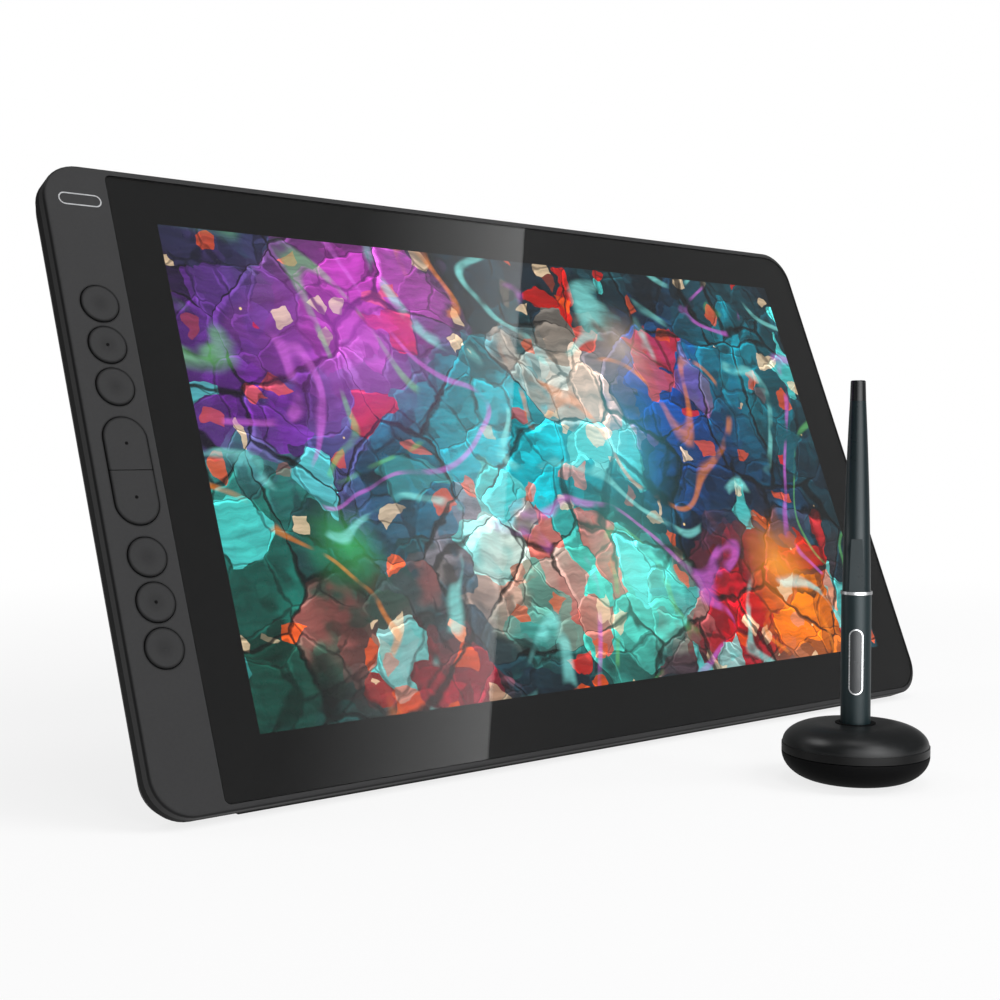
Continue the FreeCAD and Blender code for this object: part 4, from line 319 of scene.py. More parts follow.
def mouldedSkin(name, colour, roughness, depth=0.5, scale=4000.0, spread=0.06, marks=0.0, specular=0.5, bump=0.25,
                bumpDepth=bumpDepths["grain"]):
    # A material with moulded grain and finger marks in its roughness and bump; its tint is still to be wired in.
    material, tree, shader, place = startMaterial(name)
    skin = useGroup(tree, grain, Vector=place, Scale=scale, Depth=depth, Colour=colour + (1,), Roughness=roughness,
                    Spread=spread)
    rough = skin["Roughness"]
    if marks:
        rough = useGroup(tree, handling, Vector=place, Amount=marks, Roughness=rough)["Roughness"]
    feedAll(tree, shader, {"Roughness": rough, "Specular IOR Level": specular})
    addBump(tree, shader, skin["Height"], bump, bumpDepth)
    return material, tree, shader, place, skin["Colour"]


def plastic(name, colour, roughness, coat=0.0, **skinValues):
    # Moulded plastic, from matt to glossy.
    material, tree, shader, place, tint = mouldedSkin(name, colour, roughness, **skinValues)
    feedAll(tree, shader, {"Base Color": tint, "Coat Weight": coat, "Coat Roughness": coatRoughness})
    return material


def metal(name, colour, roughness, depth=0.3, bump=0.15):
    # Metal with drawn streaks.
    material, tree, shader, place = startMaterial(name)
    skin = useGroup(tree, brushed, Vector=place, Colour=colour + (1,), Roughness=roughness, Depth=depth)
    feedAll(tree, shader, {"Base Color": skin["Colour"], "Roughness": skin["Roughness"], "Metallic": 1.0})
    addBump(tree, shader, skin["Height"], bump, bumpDepths["streaks"])
    return material


def rubber(name, colour, roughness=0.7):
    # Rubber or foam: dull, with a fine dusty bloom that lightens it in patches.
    material, tree, shader, place, tint = mouldedSkin(
        name, colour, roughness, depth=0.9, scale=2500.0, spread=0.12, specular=0.3, bump=0.4,
        bumpDepth=bumpDepths["dust"])
    bloom = mapRange(tree, noise(tree, place, *dustBloom["cloud"]), *dustBloom["limits"])
    dusty = tuple(min(1, c * dustBloom["lighter"] + dustBloom["least"]) for c in colour)
    wire(tree, mixColour(tree, bloom, tint, dusty), shader.inputs["Base Color"])
    return material


def dress(material, *names):
    # The CAD nodes of these names take the material.
    for name in names:
        node = nodes[name]
        node.data.materials.clear()
        node.data.materials.append(material)


def linear(red, green, blue):
    # A colour picked as eight-bit display values, as the linear values that the shaders take.
    return tuple(((v / 255 + 0.055) / 1.055) ** 2.4 if v > 10 else v / 255 / 12.92 for v in (red, green, blue))


screen = {
    "middle": (0.010, 0.1206),
    "half": (0.17208, 0.096795),
    "front": -0.00135,                          # the picture shows only above this depth
    "unit": 0.1,                                # metres to one step of the painting
    "strength": 1.0,
    "black": ((0.004, 0.004, 0.005), (0.007, 0.007, 0.008)), "tintScale": 300.0,
    "roughness": (0.16, 0.26), "roughScale": 80.0,
    "specular": 0.2,
}

painting = {
    "ground": [(0.3, (8, 20, 28)), (0.5, (14, 32, 44)), (0.7, (26, 78, 84))],
    # x, y, reach across, reach up, turn, colour, amount: soft masses of colour, laid one over the other
    "masses": [
        (-1.35, -0.55, 0.85, 0.55, 0.3, (14, 62, 50), 1.0),
        (-1.25, 0.45, 0.75, 0.6, -0.3, (96, 40, 132), 0.95),
        (-0.75, 0.75, 0.45, 0.4, 0.1, (206, 74, 196), 0.85),
        (-0.62, 0.1, 0.5, 0.65, 0.5, (22, 96, 122), 0.9),
        (0.0, 0.2, 0.62, 0.5, 0.4, (40, 182, 196), 0.95),
        (0.12, -0.45, 0.6, 0.42, -0.3, (94, 226, 206), 0.95),
        (0.38, 0.5, 0.36, 0.3, 0.6, (244, 214, 190), 0.9),
        (-0.3, -0.2, 0.3, 0.34, -0.5, (236, 160, 136), 0.85),
        (0.85, 0.35, 0.5, 0.62, -0.2, (30, 66, 138), 0.95),
        (1.4, 0.62, 0.5, 0.4, 0.4, (20, 112, 128), 0.9),
        (1.3, -0.05, 0.42, 0.4, 0.0, (16, 44, 74), 0.9),
        (0.95, -0.62, 0.6, 0.34, 0.35, (178, 34, 40), 0.95),
        (1.42, -0.72, 0.34, 0.28, 0.0, (236, 122, 44), 0.9),
        (-0.85, -0.72, 0.42, 0.26, -0.2, (150, 30, 46), 0.9),
        (-1.5, 0.0, 0.3, 0.3, 0.0, (40, 150, 130), 0.7),
    ],
    "massLimits": (1.15, 0.1),                  # shares of the reach at which a mass starts and is full
    # how far a noise pushes the masses and the shards about: its scale, its detail, the amount
    "massDrift": (1.5, 3.0, 0.7), "drift": (2.4, 4.0, 0.24), "driftRoughness": 0.6,
    # cells to one step, spread of lightness, slope of lightness across a cell, kind of distance
    "shards": {
        "large": (2.2, 1.7, 0.9, "EUCLIDEAN"),
        "middle": (5.5, 1.7, 0.9, "MANHATTAN"),
        "fine": (14.0, 1.2, 0.7, "EUCLIDEAN"),
    },
    "lean": (0.35, 0.2, 0.5), "chance": 0.45, "darkest": 0.12,
    # the noise and the limits of the patches in which smaller shards take over
    "patches": {
        "middle": ((1.9, 3.0, 0.55), (0.42, 0.50, 0.25, 0.9)),
        "fine": ((3.1, 3.0, 0.6, 0.4), (0.48, 0.58, 0.1, 0.8)),
    },
    # which shards, the channel that picks them, from what level, colour, amount
    "flecks": [
        ("middle", "Green", 0.93, (206, 48, 44), 0.7), ("middle", "Blue", 0.93, (96, 226, 222), 0.55),
        ("fine", "Green", 0.965, (250, 220, 180), 0.6), ("fine", "Blue", 0.96, (232, 96, 52), 0.6),
    ],
    "fleckFade": 0.01,
    # the seams between shards: width, darkest level, brightness of the lip; then the noise that swells them
    "seams": {"large": (0.03, 0.12, 1.3), "middle": (0.045, 0.4, 0.9)},
    "seamCloud": (2.7, 2.0), "seamLimits": (0.42, 0.62), "seamSwell": 1.7, "seamLeast": 0.004, "seamFade": (0.3, 1.0),
    "lipSide": (-0.6, 0.8, 0), "lipReach": 0.4, "lipShare": 0.8,
    # the ribbons: level, width, colour, amount; then the noise that they follow and the one that breaks them
    "ribbons": [
        (0.40, 0.010, (255, 150, 70), 0.45), (0.47, 0.014, (150, 246, 240), 0.5),
        (0.55, 0.012, (226, 120, 236), 0.45), (0.62, 0.012, (120, 210, 120), 0.4),
    ],
    "ribbonFlow": (0.9, 1.5, 0.5, 0.5), "ribbonBreaks": (4.0, 2.0), "breakLimits": (0.44, 0.56), "ribbonCore": 0.25,
    "strokeTurn": 0.6, "strokeScale": (4.0, 30.0, 1.0), "strokeLevels": (0.66, 1.32),
    # x, y, radius, colour, amount of the glows
    "glows": [
        (-0.95, 0.55, 0.6, (196, 86, 216), 0.6), (0.3, 0.1, 0.6, (110, 230, 240), 0.5),
        (1.18, -0.5, 0.3, (255, 160, 60), 0.9), (0.2, -0.5, 0.45, (150, 255, 226), 0.4),
        (-1.2, -0.3, 0.22, (84, 214, 120), 0.6), (0.52, 0.55, 0.3, (255, 230, 200), 0.45),
    ],
    "sparkScale": 7.0, "sparkSizes": (0.06, 0.03), "sparkLimits": (0.54, 0.6), "sparkTint": (255, 220, 160),
    "groundCloud": 2.2, "strokeCloud": (1.0, 3.0, 0.6), "sparkCloud": 2.2,
    "saturation": 1.05, "brightness": 1.1,
}


def drifted(tree, point, scale, detail, amount):
    # A point pushed sideways and up by a coloured noise times an amount.
    push = noise(tree, point, scale, detail, painting["driftRoughness"], colour=True)
    return vectorMath(tree, "MULTIPLY_ADD", push, (amount, amount, 0.0), point)


def flattened(tree, point):
    # A point with its z set to nought.
    return vectorMath(tree, "MULTIPLY", point, (1, 1, 0))


def laid(tree, under, mask, amount, tint, mode="MIX"):
    # A colour laid over what is under it by a mask times an amount.
    return mixColour(tree, doMath(tree, "MULTIPLY", mask, amount), under, linear(*tint), mode)


def softMass(tree, point, x, y, across, upward, turn):
    # One in the middle of a turned ellipse, falling smoothly to nought at its rim.
    inside = mapped(tree, point, (x, y, 0), (0, 0, turn), (across, upward, 1), "TEXTURE")
    return mapRange(tree, vectorMath(tree, "LENGTH", inside), *painting["massLimits"], smooth=True)


def buildMassesGroup():
    # The ground's colours follow a slow noise, and each soft mass is laid over them in turn.
    tree, given, made = newGroup("colourMasses", [("Point", "vector", None)], [("Colour", "colour")])
    shift = painting["massDrift"][2] / 2
    pushed = drifted(tree, given["Point"], *painting["massDrift"])
    point = flattened(tree, vectorMath(tree, "SUBTRACT", pushed, (shift, shift, 0.0)))
    stops = [(position, linear(*tint)) for position, tint in painting["ground"]]
    colour = colourRamp(tree, noise(tree, point, painting["groundCloud"]), stops)
    for x, y, across, upward, turn, tint, amount in painting["masses"]:
        colour = laid(tree, colour, softMass(tree, point, x, y, across, upward, turn), amount, tint)
    wire(tree, colour, made["Colour"])
    return tree


def shards(tree, masses, point, scale, jitter, depth, metric):
    # Each cell takes the colour of the masses at its own middle, is lighter or darker by chance, and slopes from
    # light to dark across it.
    cell = voronoi(tree, point, scale, metric=metric)
    colour = useGroup(tree, masses, Point=cell["Position"])["Colour"]
    apart = vectorMath(tree, "SUBTRACT", point, cell["Position"])
    slope = vectorMath(tree, "DOT_PRODUCT", apart, vectorMath(tree, "SUBTRACT", cell["Color"], painting["lean"]))
    channels = addNode(tree, "ShaderNodeSeparateColor")
    wire(tree, cell["Color"], channels.inputs[0])
    chance = doMath(tree, "SUBTRACT", channels.outputs["Red"], painting["chance"])
    level = doMath(tree, "MULTIPLY_ADD", slope, depth * scale, doMath(tree, "MULTIPLY_ADD", chance, jitter, 1.0))
    return scaled(tree, colour, doMath(tree, "MAXIMUM", level, painting["darkest"])), channels.outputs


def addSeams(tree, painted, point, warped, scale, width, dark, lip):
    # Seams between shards: dark, swelling and fading with a noise, with a lighter lip on their upper left.
    rim = voronoi(tree, warped, scale, "DISTANCE_TO_EDGE")["Distance"]
    widest = width * painting["seamSwell"]
    swell = mapRange(tree, noise(tree, point, *painting["seamCloud"]), *painting["seamLimits"], 0.0, widest)
    share = doMath(tree, "DIVIDE", rim, doMath(tree, "ADD", swell, painting["seamLeast"]))
    edge = mapRange(tree, share, *painting["seamFade"], dark, 1.0, smooth=True)
    painted = mixColour(tree, 1.0, painted, edge, "MULTIPLY")
    apart = vectorMath(tree, "SUBTRACT", warped, voronoi(tree, warped, scale)["Position"])
    side = vectorMath(tree, "DOT_PRODUCT", apart, painting["lipSide"])
    lit = doMath(tree, "MULTIPLY", mapRange(tree, side, 0.0, painting["lipReach"] / scale, smooth=True),
                 mapRange(tree, rim, widest, width * painting["lipShare"], smooth=True))
    return scaled(tree, painted, doMath(tree, "MULTIPLY_ADD", lit, lip, 1.0))


def addRibbons(tree, painted, point):
    # Thin broken ribbons that follow the level lines of a slow noise.
    flow = noise(tree, point, *painting["ribbonFlow"])
    broken = mapRange(tree, noise(tree, point, *painting["ribbonBreaks"]), *painting["breakLimits"], smooth=True)
    for level, width, tint, amount in painting["ribbons"]:
        off = doMath(tree, "ABSOLUTE", doMath(tree, "SUBTRACT", flow, level))
        band = mapRange(tree, off, width, width * painting["ribbonCore"], smooth=True)
        painted = laid(tree, painted, doMath(tree, "MULTIPLY", band, broken), amount, tint)
    return painted


def addGlows(tree, painted, warped):
    # Round glows, whose light falls off with the square of the share of the radius that is left.
    shift = painting["drift"][2] / 2
    for x, y, radius, tint, amount in painting["glows"]:
        away = vectorMath(tree, "DISTANCE", warped, (x + shift, y + shift, 0))
        fade = doMath(tree, "POWER", mapRange(tree, away, 0.0, radius, 1.0, 0.0), 2.0)
        painted = laid(tree, painted, fade, amount, tint, "SCREEN")
    return painted


def buildPictureGroup():
    # An abstract painting: shards of three sizes that take their colours from the masses, with flecks, seams,
    # ribbons, strokes, glows and sparks laid over them.
    tree, given, made = newGroup("abstractPainting", [("Point", "vector", None)], [("Colour", "colour")])
    masses = buildMassesGroup()
    point = given["Point"]
    warped = drifted(tree, point, *painting["drift"])
    sized = {size: shards(tree, masses, warped, *look) for size, look in painting["shards"].items()}
    painted = sized["large"][0]
    for size, (cloud, limits) in painting["patches"].items():
        patch = mapRange(tree, noise(tree, point, *cloud), *limits, smooth=True)
        painted = mixColour(tree, patch, painted, sized[size][0])
    for size, channel, low, tint, amount in painting["flecks"]:
        there = mapRange(tree, sized[size][1][channel], low, low + painting["fleckFade"])
        painted = laid(tree, painted, there, amount, tint)
    for size, look in painting["seams"].items():
        painted = addSeams(tree, painted, point, warped, painting["shards"][size][0], *look)
    painted = addRibbons(tree, painted, point)
    slant = mapped(tree, warped, turn=(0, 0, painting["strokeTurn"]), scale=painting["strokeScale"])
    strokes = cloudy(tree, noise(tree, slant, *painting["strokeCloud"]), *painting["strokeLevels"])
    painted = addGlows(tree, mixColour(tree, 1.0, painted, strokes, "MULTIPLY"), warped)
    sparks = mapRange(tree, voronoi(tree, point, painting["sparkScale"])["Distance"], *painting["sparkSizes"],
                      smooth=True)
    chosen = mapRange(tree, noise(tree, point, painting["sparkCloud"]), *painting["sparkLimits"])
    painted = laid(tree, painted, sparks, chosen, painting["sparkTint"])
    rich = addNode(tree, "ShaderNodeHueSaturation")
    feedAll(tree, rich, {"Saturation": painting["saturation"], "Value": painting["brightness"], "Color": painted})
    wire(tree, rich.outputs[0], made["Colour"])
    return tree


def screenMaterial():
    # Black cell border, and inside it the lit picture, in steps of the painting from its own middle.
    material, tree, shader, place = startMaterial("screenPanel")
    flat = facePlane(tree, place)
    unit = screen["unit"]
    centred = mapped(tree, flat, tuple(-v / unit for v in screen["middle"]) + (0,), scale=(1 / unit,) * 3)
    picture = useGroup(tree, buildPictureGroup(), Point=flattened(tree, centred))["Colour"]
    mask = doMath(tree, "GREATER_THAN", splitVector(tree, flat)["Z"], screen["front"])
    apart = splitVector(tree, centred)
    for axis, half in zip("XY", screen["half"]):
        mask = doMath(tree, "MULTIPLY", mask, within(tree, apart[axis], 0.0, half / unit))
    feedAll(tree, shader, {
        "Base Color": cloudTint(tree, noise(tree, place, screen["tintScale"]), screen["black"]),
        "Roughness": cloudy(tree, noise(tree, place, screen["roughScale"]), *screen["roughness"]),
        "Specular IOR Level": screen["specular"],
        "Emission Color": mixColour(tree, mask, (0, 0, 0), picture),
        "Emission Strength": screen["strength"],
    })
    return material


dress(screenMaterial(), "lcd_cell")
print("screen picture painted")


def addObject(name, data):
    # A new object in the scene, at the origin.
    item = bpy.data.objects.new(name, data)
    bpy.context.scene.collection.objects.link(item)
    return item


def makePiece(name, points, faces, material, body, replaced=()):
    # A piece from its points and faces, which rides on a body and may stand for CAD nodes.
    mesh = bpy.data.meshes.new(name)
    mesh.from_pydata(points.tolist(), [], faces)
    mesh.materials.append(material)
    piece = addObject(name, mesh)
    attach(piece, body)
    if replaced:
        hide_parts(*replaced)
    return piece


def gridFaces(rows, columns):
    # Quads between rings that close on themselves: ring by ring, each point joined to the next.
    row, column = np.meshgrid(np.arange(rows - 1), np.arange(columns), indexing="ij")
    here = row * columns + column
    beside = row * columns + (column + 1) % columns
    return np.stack([here, beside, beside + columns, here + columns], axis=-1).reshape(-1, 4)


def roundedLoop(left, low, right, high, leftRadius, rightRadius, steps):
    # A rectangle's outline anticlockwise from its lower left; every corner is a quarter circle about its own middle.
    radius = np.array([leftRadius, rightRadius, rightRadius, leftRadius])[:, None, None]
    corner = np.array([[(left, low)], [(right, low)], [(right, high)], [(left, high)]])
    inward = np.array([[(1, 1)], [(-1, 1)], [(-1, -1)], [(1, -1)]])
    angle = np.radians(np.array([[180], [270], [0], [90]]) + np.linspace(0, 90, steps))
    arc = np.stack([np.cos(angle), np.sin(angle)], axis=-1)
    return (corner + inward * radius + radius * arc).reshape(-1, 2)


def closedRings(rings):
    # Rings of points joined in a loop of loops: the last ring meets the first again.
    count = len(rings[0])
    faces = gridFaces(len(rings) + 1, count) % (count * len(rings))
    return np.concatenate(rings), faces.tolist()


glass = {
    "left": -0.17875, "low": 0.00235, "right": 0.20225, "high": 0.23425,
    "leftRadius": 0.00235, "rightRadius": 0.01375, "cornerSteps": 14,
    "top": -0.0001, "bottom": -0.00126,
    "polish": 0.00007,                          # width and depth of the ground bevel
    "tint": (0.97, 0.975, 0.975, 1), "index": 1.48,
    "roughness": 0.012, "marks": 0.03,
    "edge": (0.006, 0.006, 0.007),
}

border = {
    "middle": (0.01015, 0.1201), "half": (0.1710, 0.0963), "cornerRadius": 0.0002,
    "top": -0.00127, "bottom": -0.00129,
    "inset": 0.0001,
    "ink": ((0.0086, 0.0086, 0.0091), (0.0094, 0.0094, 0.0099)),
    "roughness": (0.58, 0.62), "cloud": (18.0, 2.0), "specular": 0.1,
}


def glassLoop(inset):
    # The pane's outline, set in by the same distance all round.
    return roundedLoop(glass["left"] + inset, glass["low"] + inset, glass["right"] - inset, glass["high"] - inset,
                       glass["leftRadius"] - inset, glass["rightRadius"] - inset, glass["cornerSteps"])


def atDepth(loop, depth):
    # An outline's points with the same z.
    return np.column_stack([loop, np.full(len(loop), depth)])


def buildGlass(material, edge):
    # The pane's outline at four heights, of which the lowest and the highest are set in by the ground bevel, and a
    # flat face at each end.
    bottom, top, polish = glass["bottom"], glass["top"], glass["polish"]
    rings = [atDepth(glassLoop(inset), depth) for depth, inset in (
        (bottom, polish), (bottom + polish, 0.0), (top - polish, 0.0), (top, polish))]
    count = len(rings[0])
    faces = gridFaces(len(rings), count).tolist()
    sides = len(faces)
    faces.append(list(range(count))[::-1])
    faces.append(list(range(count * (len(rings) - 1), count * len(rings))))
    pane = makePiece("screenGlass", faceArray(np.concatenate(rings)), faces, material, "tablet",
                     ["cover_glass"])
    pane.data.materials.append(edge)
    pane.data.polygons.foreach_set("material_index", [1] * sides + [0, 0])


def buildBorder(material):
    # Black print on the back of the glass: a thin rounded sheet with the picture's opening cut out of it.
    (x, y), (across, upward), radius = border["middle"], border["half"], border["cornerRadius"]
    outer = glassLoop(border["inset"])
    inner = roundedLoop(x - across, y - upward, x + across, y + upward, radius, radius, glass["cornerSteps"])
    points, faces = closedRings([atDepth(loop, border[depth]) for loop, depth in (
        (outer, "bottom"), (outer, "top"), (inner, "top"), (inner, "bottom"))])
    makePiece("inkBorder", faceArray(points), faces, material, "tablet")


def glassMaterial():
    # Clear glass whose polish is a little dulled by finger marks.
    material, tree, shader, place = startMaterial("coverGlass")
    marks = useGroup(tree, handling, Vector=place, Amount=glass["marks"], Roughness=glass["roughness"])
    feedAll(tree, shader, {"Base Color": glass["tint"], "Transmission Weight": 1.0, "IOR": glass["index"],
                           "Roughness": marks["Roughness"]})
    return material


def printMaterial():
    # An even coat of black ink, a touch thicker in slow clouds.
    material, tree, shader, place = startMaterial("blackPrint")
    clouds = noise(tree, place, *border["cloud"])
    feedAll(tree, shader, {
        "Base Color": cloudTint(tree, clouds, border["ink"]),
        "Roughness": cloudy(tree, clouds, *border["roughness"]),
        "Specular IOR Level": border["specular"],
    })
    return material


buildGlass(glassMaterial(), plastic("groundEdge", glass["edge"], 0.5, specular=0.2, bump=0.2))
buildBorder(printMaterial())
print("glass laid over the screen")


caseTone = {
    "frame": (0.044, 0.044, 0.045),
    # painted shade down the frame's sides and on the rounded rim below the face; the rim tone also paints the shadow
    # at the key gaps
    "side": (0.019, 0.019, 0.0195),
    "edge": (0.010, 0.010, 0.0105),
    "edgeDepths": (-0.00012, -0.0016), "edgeFades": (0.0004, 0.0003),
    "keys": (0.042, 0.042, 0.043),
    # painted shade on the keys' rounded rims
    "keyRimShade": (0.012, 0.012, 0.0125),
    "keyDot": (0.003, 0.003, 0.0032),
    # the raked sides' painted shade; the back tone below is the plastic's own
    "cover": (0.0028, 0.0028, 0.0030),
    "back": (0.0160, 0.0160, 0.0166), "backDepths": (-0.0130, -0.0138),
    "badge": (0.50, 0.51, 0.52),
    "leg": (0.034, 0.034, 0.036),
}

# The keys lie alike above and below the middle of their line, so one half says where all of them are. A shade is
# two distances and, where given, how strong it is at them.
keyLine = {
    "x": -0.190, "middle": 0.1188,
    "roundRises": (0.031, 0.04685, 0.0627), "roundRadius": 0.00695,
    "pillRise": 0.0116, "pillRadius": 0.008,
    "dotRises": (0.0098, 0.04685),
    "frameShade": (0.0003, 0.0010, 0.55, 0.0),
    "capShade": (-0.0011, -0.0002, 0.0, 0.75),
    "dotShade": (0.00075, 0.00045),
    "sideDepths": (0.0005, 0.0001),
}


def buildKeyGroup():
    # How far a spot on the face lies outside the nearest key's rim (less than nought on a key), and how far from
    # the nearest dot.
    tree, given, made = newGroup("keyDistances", [("Vector", "vector", None)], [("Rim", "number"), ("Dot", "number")])
    spot = splitVector(tree, given["Vector"])
    across = doMath(tree, "SUBTRACT", spot["X"], keyLine["x"])
    rise = doMath(tree, "ABSOLUTE", doMath(tree, "SUBTRACT", spot["Y"], keyLine["middle"]))

    def reach(upward, at):
        # The straight distance from a spot to a middle on the line.
        joined = feedAll(tree, addNode(tree, "ShaderNodeCombineXYZ"), {"X": across, "Y": upward})
        return vectorMath(tree, "DISTANCE", joined.outputs[0], (0, at, 0))

    beyond = doMath(tree, "MAXIMUM", doMath(tree, "SUBTRACT", rise, keyLine["pillRise"]), 0.0)
    rim = doMath(tree, "SUBTRACT", reach(beyond, 0.0), keyLine["pillRadius"])
    for at in keyLine["roundRises"]:
        rim = doMath(tree, "MINIMUM", rim, doMath(tree, "SUBTRACT", reach(rise, at), keyLine["roundRadius"]))
    wire(tree, rim, made["Rim"])
    wire(tree, doMath(tree, "MINIMUM", *[reach(rise, at) for at in keyLine["dotRises"]]), made["Dot"])
    return tree


keyDistances = buildKeyGroup()


def frameMaterial():
    # Satin grey plastic, with painted shade darker down its sides. The rounded rim just below the face is a darker
    # band of painted shade still, and a painted shadow darkens the plastic towards each key's gap.
    material, tree, shader, place, tint = mouldedSkin("framePlastic", caseTone["frame"], 0.5, depth=0.6, marks=0.05,
                                                      specular=0.2)
    flat = facePlane(tree, place)
    depth = splitVector(tree, flat)["Z"]
    (high, low), (highFade, lowFade) = caseTone["edgeDepths"], caseTone["edgeFades"]
    # Painted shade: the sides and the rim band below the face darken by their depth.
    band = doMath(tree, "MULTIPLY", mapRange(tree, depth, high, high - highFade),
                  mapRange(tree, depth, low, low + lowFade))
    sideShaded = mixColour(tree, mapRange(tree, depth, high, low), tint, caseTone["side"])
    rimShaded = mixColour(tree, band, sideShaded, caseTone["edge"])
    near = useGroup(tree, keyDistances, Vector=flat)["Rim"]
    shadow = mapRange(tree, near, *keyLine["frameShade"], smooth=True)
    # Painted shadow round each key's gap, in the rim's dark tone.
    wire(tree, mixColour(tree, shadow, rimShaded, caseTone["edge"]), shader.inputs["Base Color"])
    return material


def keyMaterial():
    # The frame's plastic, with painted shade darker where the key turns down into its gap and near its rim, and near
    # black over each finger dot.
    material, tree, shader, place, tint = mouldedSkin("keyPlastic", caseTone["keys"], 0.5, marks=0.1, specular=0.2)
    flat = facePlane(tree, place)
    side = mapRange(tree, splitVector(tree, flat)["Z"], *keyLine["sideDepths"], smooth=True)
    near = useGroup(tree, keyDistances, Vector=flat)
    rim = mapRange(tree, near["Rim"], *keyLine["capShade"], smooth=True)
    dot = mapRange(tree, near["Dot"], *keyLine["dotShade"], smooth=True)
    # Painted shade on the key's side and rim.
    shaded = mixColour(tree, doMath(tree, "MAXIMUM", side, rim), tint, caseTone["keyRimShade"])
    wire(tree, mixColour(tree, dot, shaded, caseTone["keyDot"]), shader.inputs["Base Color"])
    return material


def coverMaterial():
    # Coarser black plastic: a shade lighter on the flat back, with painted shade making it deep black on the raked
    # sides.
    material, tree, shader, place, tint = mouldedSkin(
        "coverPlastic", caseTone["back"], 0.55, depth=1.0, scale=2600.0, spread=0.1, marks=0.08, specular=0.12,
        bump=0.5)
    depth = splitVector(tree, facePlane(tree, place))["Z"]
    # Painted shade on the raked sides, the plastic's own tone on the back.
    back = mapRange(tree, depth, *caseTone["backDepths"], smooth=True)
    wire(tree, mixColour(tree, back, caseTone["cover"], tint), shader.inputs["Base Color"])
    return material


def legMaterial():
    # Black anodised aluminium: dark, a little metallic, with a bead-blasted grain.
    material, tree, shader, place, tint = mouldedSkin(
        "anodisedLeg", caseTone["leg"], 0.42, depth=0.8, scale=5200.0, spread=0.08, marks=0.12, bump=0.2,
        bumpDepth=bumpDepths["blasted"])
    feedAll(tree, shader, {"Base Color": tint, "Metallic": 0.75})
    return material


dress(frameMaterial(), "front_frame")
dress(keyMaterial(), *(f"key_{number}" for number in range(1, 9)))
dress(coverMaterial(), "rear_cover", "power_button")
dress(legMaterial(), "kickstand_leg")
dress(plastic("badgeBand", caseTone["badge"], 0.3, depth=0.2, specular=0.6, bump=0.1), "badge_ring")
dress(plastic("clearLens", (0.55, 0.6, 0.62), 0.15, depth=0.1, bump=0.05, coat=0.5), "indicator_lens")
dress(rubber("blackRubber", (0.018, 0.018, 0.018)), "rear_feet", "edge_rest_strip", "kickstand_foot_strip",
      "stand_foot_ring")
dress(rubber("foamTape", (0.006, 0.006, 0.006), 0.85), "glass_tape")
dress(metal("blackSteel", (0.05, 0.05, 0.052), 0.42), "cover_screws", "kickstand_hinge_blocks")
dress(metal("plainSteel", (0.56, 0.56, 0.57), 0.3), "small_screws", "kickstand_pins", "stand_weight", "nib_puller",
      "pen_pressure_sensor", "key_switches", "power_switch")
print("case dressed")


board = {
    "runs": {"Scale": 110.0, "Mortar Size": 0.035, "Mortar Smooth": 0.2, "Brick Width": 1.7, "Row Height": 0.35},
    "viaScale": 240.0, "viaSizes": (0.14, 0.1),
    "roughness": (0.38, 0.26),
}


def boardMaterial(name, mask, trace):
    # Circuit board: solder mask with fine copper runs, which are the joints of a brick pattern, and round vias.
    material, tree, shader, place = startMaterial(name)
    flat = facePlane(tree, place)
    runs = feedAll(tree, addNode(tree, "ShaderNodeTexBrick", offset=0.5), {"Vector": flat, **board["runs"]})
    vias = mapRange(tree, voronoi(tree, flat, board["viaScale"], randomness=0.7)["Distance"], *board["viaSizes"])
    copper = doMath(tree, "MAXIMUM", runs.outputs["Fac"], vias)
    feedAll(tree, shader, {"Base Color": mixColour(tree, copper, mask, trace),
                           "Roughness": mapRange(tree, copper, 0.0, 1.0, *board["roughness"])})
    addBump(tree, shader, copper, 0.3, bumpDepths["copper"])
    return material


ribbon = {
    "film": (0.42, 0.17, 0.035), "copper": (0.62, 0.33, 0.1),
    "lineScale": 420.0, "roughness": (0.22, 0.34), "roughScale": 500.0,
}


def ribbonMaterial():
    # Amber film with copper lines, which are the crests of a slanting wave.
    material, tree, shader, place = startMaterial("amberRibbon")
    lines = addNode(tree, "ShaderNodeTexWave", bands_direction="DIAGONAL")
    feedAll(tree, lines, {"Vector": facePlane(tree, place), "Scale": ribbon["lineScale"]})
    feedAll(tree, shader, {
        "Base Color": mixColour(tree, lines.outputs["Fac"], ribbon["film"], ribbon["copper"]),
        "Roughness": cloudy(tree, noise(tree, place, ribbon["roughScale"]), *ribbon["roughness"]),
    })
    addBump(tree, shader, lines.outputs["Fac"], 0.2, bumpDepths["lines"])
    return material


lampStrip = {
    "start": -0.15868, "pitch": 0.0144, "window": (0.0004, 0.003),
    "strip": (0.72, 0.72, 0.68), "lamp": (0.85, 0.62, 0.12),
    "roughness": (0.4, 0.5), "roughScale": 900.0,
}


def lampStripMaterial():
    # White strip with a yellow window on every lamp: the distance along it is counted anew from each lamp.
    material, tree, shader, place = startMaterial("lampStrip")
    along = splitVector(tree, facePlane(tree, place))["X"]
    step = doMath(tree, "MODULO", doMath(tree, "ADD", along, lampStrip["pitch"] - lampStrip["start"]),
                  lampStrip["pitch"])
    first, last = lampStrip["window"]
    window = doMath(tree, "MULTIPLY", doMath(tree, "GREATER_THAN", step, first), doMath(tree, "LESS_THAN", step, last))
    feedAll(tree, shader, {
        "Base Color": mixColour(tree, window, lampStrip["strip"], lampStrip["lamp"]),
        "Roughness": cloudy(tree, noise(tree, place, lampStrip["roughScale"]), *lampStrip["roughness"]),
    })
    return material


